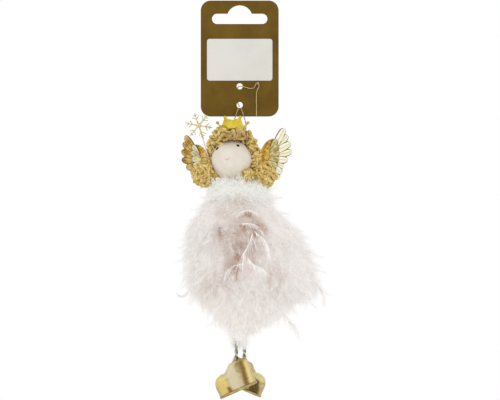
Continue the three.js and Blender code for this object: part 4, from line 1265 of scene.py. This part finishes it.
def makePlume(kind, index):
    style, steps = plumes[kind], barbs["shaftSteps"]
    dice = random.Random(barbs["seed"] + index)
    strands = Strands()
    shaft = []
    for i in range(steps + 1):
        shaft.append(Vector((0, style["bend"] * (i / steps) ** 2, style["shaft"] * i / steps)))
    strands.ribbon(shaft, style["barbWidth"] * barbs["shaftWidth"], sideAxis, *barbs["shaftShades"])
    for k in range(style["barbs"]):
        share = mix(barbs["first"], 1, (k + dice.random()) / style["barbs"])
        base, forward = placeOn(shaft, min(share * steps, steps - 0.001))
        bearing = dice.uniform(0, 2 * math.pi)
        out = Vector((math.cos(bearing), math.sin(bearing), 0))
        splay = math.radians(style["spread"] * mix(*barbs["splay"], share) + dice.gauss(0, barbs["unruly"]))
        heading = forward * math.cos(splay) + out * math.sin(splay)
        length = style["barbLength"] * dice.uniform(*barbs["lengths"]) * mix(*barbs["shorten"], share)
        curl = Vector((dice.gauss(0, 1), dice.gauss(0, 1), dice.gauss(0, 0.6))) * barbs["curl"]
        sway = heading.orthogonal().normalized()
        phase = dice.uniform(0, 6.28)
        route = []
        for i in range(style["segments"] + 1):
            s = i / style["segments"]
            point = base + (heading * s + (curl - out * barbs["hug"]) * s * s) * length
            route.append(point + sway * (barbs["sway"] * math.sin(phase + barbs["waves"] * s) * s))
        side = heading.cross(strewn(dice)).normalized()
        wide = style["barbWidth"] * dice.uniform(*barbs["widths"])
        strands.ribbon(route, wide, side, mix(*barbs["rootShades"], share), mix(*barbs["tipShades"], share))
    return strands.build(f"{kind}{index}")


dressRows = {  # spacing of down and vanes in mm; tips: height, left, right, droop in degrees, length
    "collar_fluff": {
        "node": "collar_feathers", "slot": "white_feather", "finish": ("whitePlume", "whiteDown"), "seed": 3,
        "down": 1.3, "vane": 8, "size": (0.75, 0.95), "depth": 0.86, "leastDepth": 0, "sag": 1.5,
        "tips": [(-98, -9, 8.5, -50, 4), (-101, -14.5, 13, -28, 4.5), (-104.5, -18.8, 17, -5, 4.5),
                 (-111, -20, 19, 22, 4.5), (-118, -18.5, 18, 48, 4.5), (-121, -15, 14.5, 74, 4.5)]},
    "skirt_top_fluff": {
        "node": "skirt_top_row", "slot": "blush_feather", "finish": ("blushPlume", "blushDown"), "seed": 5,
        "down": 2.25, "vane": 9, "size": (0.85, 1.1), "depth": 0.84, "leastDepth": 0, "sag": 4,
        "tips": [(-113, -20, 18.5, 25, 5.5), (-121, -26, 23.5, 38, 6), (-130, -31, 31, 46, 6),
                 (-140, -31.5, 38.5, 52, 6), (-145, -29.5, 36, 72, 5.5)]},
    "skirt_middle_fluff": {
        "node": "skirt_middle_row", "slot": "blush_feather", "finish": ("blushPlume", "blushDown"), "seed": 8,
        "down": 2.75, "vane": 9, "size": (0.9, 1.15), "depth": 0.79, "leastDepth": 0, "sag": 4,
        "tips": [(-130, -31, 31, 42, 6), (-142, -32, 40.5, 46, 6), (-154, -32.5, 44.5, 50, 6),
                 (-164.5, -31.5, 47, 54, 6), (-168.5, -29, 42, 74, 5.5), (-170.5, -24, 34, 92, 5)]},
    "skirt_bottom_fluff": {
        "node": "skirt_bottom_row", "slot": "blush_feather", "finish": ("hemPlume", "hemDown"), "seed": 12,
        "down": 2.25, "vane": 9, "size": (0.9, 1.15), "depth": 0.89, "leastDepth": 11, "sag": 0,
        "tips": [(-158, -30.5, 35, 56, 6), (-168, -28, 33, 62, 6), (-173.5, -23, 31, 68, 6),
                 (-179, -17, 27, 74, 6), (-185, -10.5, 15.5, 82, 3.6), (-190.5, -5.4, 5.8, 94, 4),
                 (-198, -3.0, 3.0, 100, 4.5)]},
}
fluff = {
    "across": 96, "steps": 6, "lumps": 6, "swell": 0.5, "mostSwell": 0.2, "narrowest": 1.2, "mostReach": 0.8,
    "stray": {"down": 0.4, "vane": 0.22}, "ahead": 0.35, "thinned": 0.5,
    "lumpWaves": (3, 9), "lumpSizes": (0.15, 0.5), "groundAlong": (0.5, 0.1), "groundTint": (0.2, 1),
    "lowest": {"down": -250, "vane": -183},  # no vanes where the legs swing
    "hem": {"front": (186, 0.8), "back": (182, 0.65)}, "hemEnd": 196,  # where it narrows, and how far
}
hollows = {
    "zones": [  # browner places in front, with painted shade: across and up, radius, how strong the painted shade
        ((1.5, -136.0), (18.5, 27.0), 0.47), ((20.5, -155.0), (9.0, 12.0), 0.34),
        ((-12.0, -162.0), (17.0, 11.0), 0.36), ((9.5, -129.0), (8.0, 8.5), 0.56),
        ((-4.5, -150.5), (8.5, 7.5), 0.52), ((21.4, -165.8), (2.0, 4.4), 0.46),
        ((-2.0, -112.5), (11.0, 6.5), 0.36), ((-9.5, -121.5), (9.0, 8.0), 0.38)],
    "spots": [  # partings in front, sunk and with painted shade: across and up, radius
        ((5.3, -122.8), (3.6, 2.4)), ((-11.6, -134.0), (2.0, 5.4)), ((-1.6, -147.6), (3.2, 3.4)),
        ((2.6, -130.6), (3.6, 2.2)), ((9.9, -135.2), (2.8, 2.4)), ((-3.1, -154.4), (4.0, 3.0))],
    # how deep a parting sinks, and the painted shade in a parting
    "depth": 2.0, "spotBrown": 0.9,
}


def hollowAt(point):  # how far a place lies in a parting, and how much painted shade it gets
    if point.y > 0:
        return 0.0, 0.0

    def nearness(place, radius):
        return math.exp(-((point.x - place[0]) / radius[0]) ** 2 - ((point.z - place[1]) / radius[1]) ** 2)

    parting = max(nearness(*spot) for spot in hollows["spots"])
    hollowShades = [most * nearness(place, radius) for place, radius, most in hollows["zones"]]
    return parting, max(hollows["spotBrown"] * parting, *hollowShades)


def fluffGuide(name, row, lowest):  # the surface that a row grows on; nothing grows below the lowest height
    across = fluff["across"]
    dice = random.Random(row["seed"])
    lumps = []
    for _ in range(fluff["lumps"]):
        waves, phase = dice.randint(*fluff["lumpWaves"]), dice.uniform(0, 6.28)
        lumps.append((waves, phase, dice.uniform(*fluff["lumpSizes"])))
    points, grows, hollowShades, thick = [], [], [], []
    stations = smoothRoute(row["tips"], fluff["steps"])
    for level, (height, left, right, droop, reach) in enumerate(stations):
        middle, half = (left + right) / 2, (right - left) / 2
        fall = math.radians(droop)
        reach = min(reach, half * fluff["mostReach"] / max(math.cos(fall), 0.1))
        inner = max(half - reach * math.cos(fall), fluff["narrowest"])
        sagging = row["sag"] * (level / (len(stations) - 1)) ** 2
        for j in range(across):
            angle = 2 * math.pi * j / across
            out = Vector((math.cos(angle), math.sin(angle), 0))
            swell = 0.0
            for waves, phase, size in lumps:
                swell += size * math.sin(waves * angle + phase + height * size)
            wide = inner + min(swell * fluff["swell"], inner * fluff["mostSwell"])
            sag = sagging * math.sin(3 * angle + row["seed"]) * math.cos(2 * angle)
            narrows, slim = fluff["hem"]["front" if out.y < 0 else "back"]
            least = row["leastDepth"] * mix(1, slim, smooth(narrows, fluff["hemEnd"], -height))
            deep = max(wide * row["depth"], least)
            point = Vector((middle + wide * out.x, deep * out.y, height + reach * math.sin(fall) - sag))
            grow = out * math.cos(fall) - upAxis * math.sin(fall)
            # painted shade where the fluff parts or lies in a hollow
            parting, brown = hollowAt(point + grow * reach * fluff["ahead"])
            points.append((point - grow * hollows["depth"] * parting) * mm)
            grows.append(grow)
            hollowShades.append(brown)
            thick.append(1 - fluff["thinned"] * parting if height > lowest else 0.0)
    faces = []
    for i in range(len(stations) - 1):
        for j in range(across):
            k = (j + 1) % across
            faces.append((i * across + j, i * across + k, (i + 1) * across + k, (i + 1) * across + j))
    faces.append(tuple(reversed(range(across))))
    faces.append(tuple((len(stations) - 1) * across + j for j in range(across)))
    mesh = bpy.data.meshes.new(name)
    mesh.from_pydata([tuple(p) for p in points], [], faces)
    setPoints(mesh, "grow", grows)
    # the ground takes the painted shade too
    setPoints(mesh, "along", [mix(*fluff["groundAlong"], brown) for brown in hollowShades])
    setPoints(mesh, "tint", [mix(*fluff["groundTint"], brown) for brown in hollowShades])
    setPoints(mesh, "brown", hollowShades)
    setPoints(mesh, "thick", thick)
    setPoints(mesh, "ground", [1.0] * len(points))
    return addObject(name, mesh)


boxes = {}
for kind, style in plumes.items():
    boxes[kind] = formBox(kind + "Forms", [makePlume(kind, i) for i in range(style["kinds"])])
growths = {"down": scatterTree("fluffGrowth", True), "vane": scatterTree("vaneGrowth", False)}
for name, row in dressRows.items():
    finish, ground = [plumeLooks[look] for look in row["finish"]]
    for kind, title in (("down", name), ("vane", name.replace("fluff", "plumes"))):
        piece = grown(title, fluffGuide(name, row, fluff["lowest"][kind]), growths[kind], {
            "Seed": row["seed"], "Smallest": row["size"][0], "Largest": row["size"][1], "Finish": finish,
            "Ground": ground, "Forms": boxes[kind], "Spacing": row[kind] * mm, "Stray": fluff["stray"][kind]})
        settle(piece, "angel", row["slot"], *([row["node"]] if kind == "down" else []))
print("feathers ready")


# loose quills and wisps on the front of the dress

quills = {
    "wide": 0.46, "wispWide": 0.4, "barbWidth": 0.15, "barbs": 44, "lift": 1.0, "tint": 0.1, "wispTint": 0.6,
    "forward": 0.5, "drift": (0.1, 0.35), "flutter": 0.12, "stemBarbs": (0.5, 1.2),
    "wispBarbs": (0.6, 1.2), "wispSpread": (0.2, 0.7), "wispDepth": 0.2, "wispCurl": 0.3,
    "seed": 77, "stemSteps": 6, "wispSteps": 5, "stemBends": 5, "wispBends": 4, "tipLift": 0.5,
    "stemShades": (0.75, 1.0), "wispShades": (0.6, 1.0), "barbShades": (0.7, 1.0), "wispFace": (0.7, 0, 0.7),
    "stems": [  # length of the barbs, then places across and up on the dress, from root to tip
        (10.5, [(7.4, -131.8), (5.0, -138.2), (2.2, -143.4), (1.6, -148.6), (-4.2, -150.5), (-8.5, -154.0)]),
        (9.0, [(8.6, -130.6), (13.5, -134.6), (16.0, -138.9), (16.6, -143.8)]),
        (10.5, [(4.6, -145.6), (8.0, -149.3), (13.5, -151.7)]),
        (2.6, [(-2.2, -122.0), (0.8, -119.4), (5.6, -118.3), (10.2, -120.2)]),
        (4.2, [(1.6, -126.0), (6.4, -126.0), (10.4, -127.6), (13.4, -131.2)]),
    ],
    "wisps": [  # free tips past the outline: length of the barbs, then places across, deep and up
        (2.6, [(-29.5, -3.0, -165.6), (-33.0, -3.0, -168.0), (-36.0, -3.0, -167.4)]),
        (4.0, [(44.0, -4.0, -160.5), (47.6, -4.0, -166.5), (48.4, -4.0, -174.5)]),
        (6.5, [(24.0, -8.0, -176.5), (29.0, -8.0, -183.5), (34.5, -8.0, -189.8)]),
    ],
}


def frontOf(x, z):  # depth of the dress's front at a place
    best = 0.0
    for row in dressRows.values():
        tips = row["tips"]
        for (high, left, right, *_), (low, lowLeft, lowRight, *_) in zip(tips, tips[1:]):
            if low <= z <= high:
                share = (high - z) / (high - low)
                middle = mix(left + right, lowLeft + lowRight, share) / 2
                half = mix(right - left, lowRight - lowLeft, share) / 2
                best = max(best, half * row["depth"] * math.sqrt(max(1 - ((x - middle) / half) ** 2, 0)))
    return -best


def onDress(p, lift):
    return Vector((p.x, frontOf(p.x, p.z) - lift, p.z))


def addStem(strands, dice, barbLength, stem):
    flat = smoothRoute([Vector((x, 0, z)) for x, z in stem], quills["stemSteps"])
    route = [onDress(p, quills["lift"]) for p in flat]
    for side in (sideAxis, upAxis):
        strands.ribbon(route, quills["wide"], side, *quills["stemShades"])
    for k in range(quills["barbs"]):
        place = (k + dice.random()) / quills["barbs"] * (len(route) - 1.001)
        base, run = placeOn(route, place)
        aim = (run * quills["forward"] + Vector((dice.gauss(*quills["drift"]), 0, -1))).normalized()
        length = barbLength * dice.uniform(*quills["stemBarbs"])
        barb = []
        for i in range(quills["stemBends"] + 1):
            s = i / quills["stemBends"]
            stray = Vector((dice.gauss(0, quills["flutter"]), 0, dice.gauss(0, quills["flutter"])))
            p = base + aim * length * s + stray
            barb.append(onDress(p, quills["lift"] * mix(1, quills["tipLift"], s)))
        strands.ribbon(barb, quills["barbWidth"], aim.cross(backAxis), *quills["barbShades"])


def addWisp(strands, dice, barbLength, wisp):
    route = smoothRoute(wisp, quills["wispSteps"])
    strands.ribbon(route, quills["wispWide"], Vector(quills["wispFace"]), *quills["wispShades"])
    for _ in range(quills["barbs"]):
        at = dice.randint(0, len(route) - 3)
        run = (route[at + 1] - route[at]).normalized()
        side = run.cross(backAxis) * dice.choice((-1, 1)) * dice.uniform(*quills["wispSpread"])
        aim = run + side + Vector((0, dice.gauss(0, quills["wispDepth"]), 0))
        length = barbLength * dice.uniform(*quills["wispBarbs"])
        barb = []
        for i in range(quills["wispBends"] + 1):
            s = i / quills["wispBends"]
            barb.append(route[at] + (aim * s - side * quills["wispCurl"] * s ** 2) * length)
        strands.ribbon(barb, quills["barbWidth"], aim.cross(backAxis).normalized(), *quills["barbShades"])


def makeQuills():
    strands = Strands()
    dice = random.Random(quills["seed"])
    for stem in quills["stems"]:
        addStem(strands, dice, *stem)
    free = len(strands.points)
    for wisp in quills["wisps"]:
        addWisp(strands, dice, *wisp)
    piece = strands.build("loose_quills")
    spots = []
    for loop in piece.data.loops:
        tint = quills["tint"] if loop.vertex_index < free else quills["wispTint"]
        spots.extend((strands.along[loop.vertex_index], tint))
    piece.data.uv_layers.new(name="OFBake").data.foreach_set("uv", spots)
    piece.data.materials.append(plumeLooks["shaftPlume"])
    return piece


settle(makeQuills(), "angel", "blush_feather")
print("quills ready")


# yarn hair

curls = {"kinds": 5, "radius": 1.75, "yarn": 0.8, "turns": 1.15, "steps": 18, "sides": 8, "stray": 0.9,
         "smallest": 0.8, "largest": 1.15, "vary": (0.85, 1.15), "rise": (1.1, 2.64), "sink": 0.6,
         "ripple": 0.18, "ripples": 3, "swell": 0.12, "swells": 9, "seed": 90}
hairParts = {  # spacing of the curls, the scatter's seed and how far the curls sink in
    "hair_brow": (2.3, 21, 0.9), "hair_cap": (2.3, 22, 0.9), "hair_bunch_right": (1.9, 23, 1.7),
    "hair_bunch_left": (1.8, 24, 1.9), "hair_cheek_right": (1.6, 25, 0.9), "hair_cheek_left": (1.4, 26, 0.9),
}
locks = {  # loose locks on a roll or a bunch: place and radius in mm
    "hair_brow": [((-0.3, -10.4, -72.4), 2.1), ((-0.6, -8.8, -74.9), 2.1), ((-4.8, -8.4, -74.7), 1.7),
                  ((-9.2, -8.2, -74.4), 1.9), ((-11.2, -8.2, -74.0), 1.7), ((-10.6, -3.4, -79.3), 1.0)],
    "hair_bunch_right": [((4.4, -6.6, -98.2), 2.2)],
}
padding = {  # bare yarn behind gaps in the curls
    "hair_brow": [((-14.2, -0.5, -80.8), 1.3), ((-10.4, -0.5, -78.2), 1.2)],
}


def makeCurl(index):
    def yarnSize(share):
        return curls["yarn"] * mm * (1 + curls["swell"] * math.sin(curls["swells"] * share))

    dice = random.Random(curls["seed"] + index)
    radius = curls["radius"] * dice.uniform(*curls["vary"])
    rise = dice.uniform(*curls["rise"])
    route = []
    for i in range(curls["steps"] + 1):
        s = i / curls["steps"]
        turn = 2 * math.pi * curls["turns"] * s
        wide = radius * (1 + curls["ripple"] * math.sin(curls["ripples"] * turn + index))
        place = (wide * math.cos(turn), (s - 0.5) * rise, wide * math.sin(turn) - curls["sink"])
        route.append(Vector(place) * mm)
    return Form().tube(route, yarnSize, curls["sides"]).build(f"curl{index}", [])


def hairGuide(node, inset):
    mesh, work = weldedCopy(node)
    mesh.name = node + "_guide"
    for vert in work.verts:
        vert.normal_update()
    shifts = [(vert, vert.normal * inset * mm) for vert in work.verts]
    for vert, shift in shifts:
        vert.co -= shift

    def addBalls(balls):
        for place, radius in balls:
            bmesh.ops.create_icosphere(work, subdivisions=2, radius=radius * mm, matrix=moved(place))
        return len(work.verts)

    curled = addBalls(locks.get(node, []))
    addBalls(padding.get(node, []))
    work.to_mesh(mesh)
    work.free()
    setPoints(mesh, "grow", [Vector(vert.normal) for vert in mesh.vertices])
    setPoints(mesh, "thick", [1.0 if vert.index < curled else 0.0 for vert in mesh.vertices])
    while mesh.uv_layers:
        mesh.uv_layers.remove(mesh.uv_layers[0])
    mesh.uv_layers.new(name="surfaceMap")
    return addObject(mesh.name, mesh)


boxes["curl"] = formBox("curlForms", [makeCurl(i) for i in range(curls["kinds"])])
curlTree = scatterTree("curlGrowth", True)
for node, (spacing, seed, inset) in hairParts.items():
    piece = grown(node.replace("hair", "yarn"), hairGuide(node, inset), curlTree, {
        "Forms": boxes["curl"], "Spacing": spacing * mm, "Seed": seed, "Stray": curls["stray"],
        "Smallest": curls["smallest"], "Largest": curls["largest"], "Finish": curlYarn, "Ground": curlYarn})
    piece.data.uv_layers.remove(piece.data.uv_layers["OFBake"])  # only plumes are tinted by it
    settle(piece, "angel", "yarn", node)
print("hair ready")

for box in boxes.values():
    for piece in list(box.objects):
        bpy.data.objects.remove(piece)
    bpy.data.collections.remove(box)

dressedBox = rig.bounds()
with open("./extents.json", "w") as sizes:
    json.dump({"cad": [list(corner) for corner in cadBox], "visual": [list(corner) for corner in dressedBox]}, sizes)
print("sizes written")
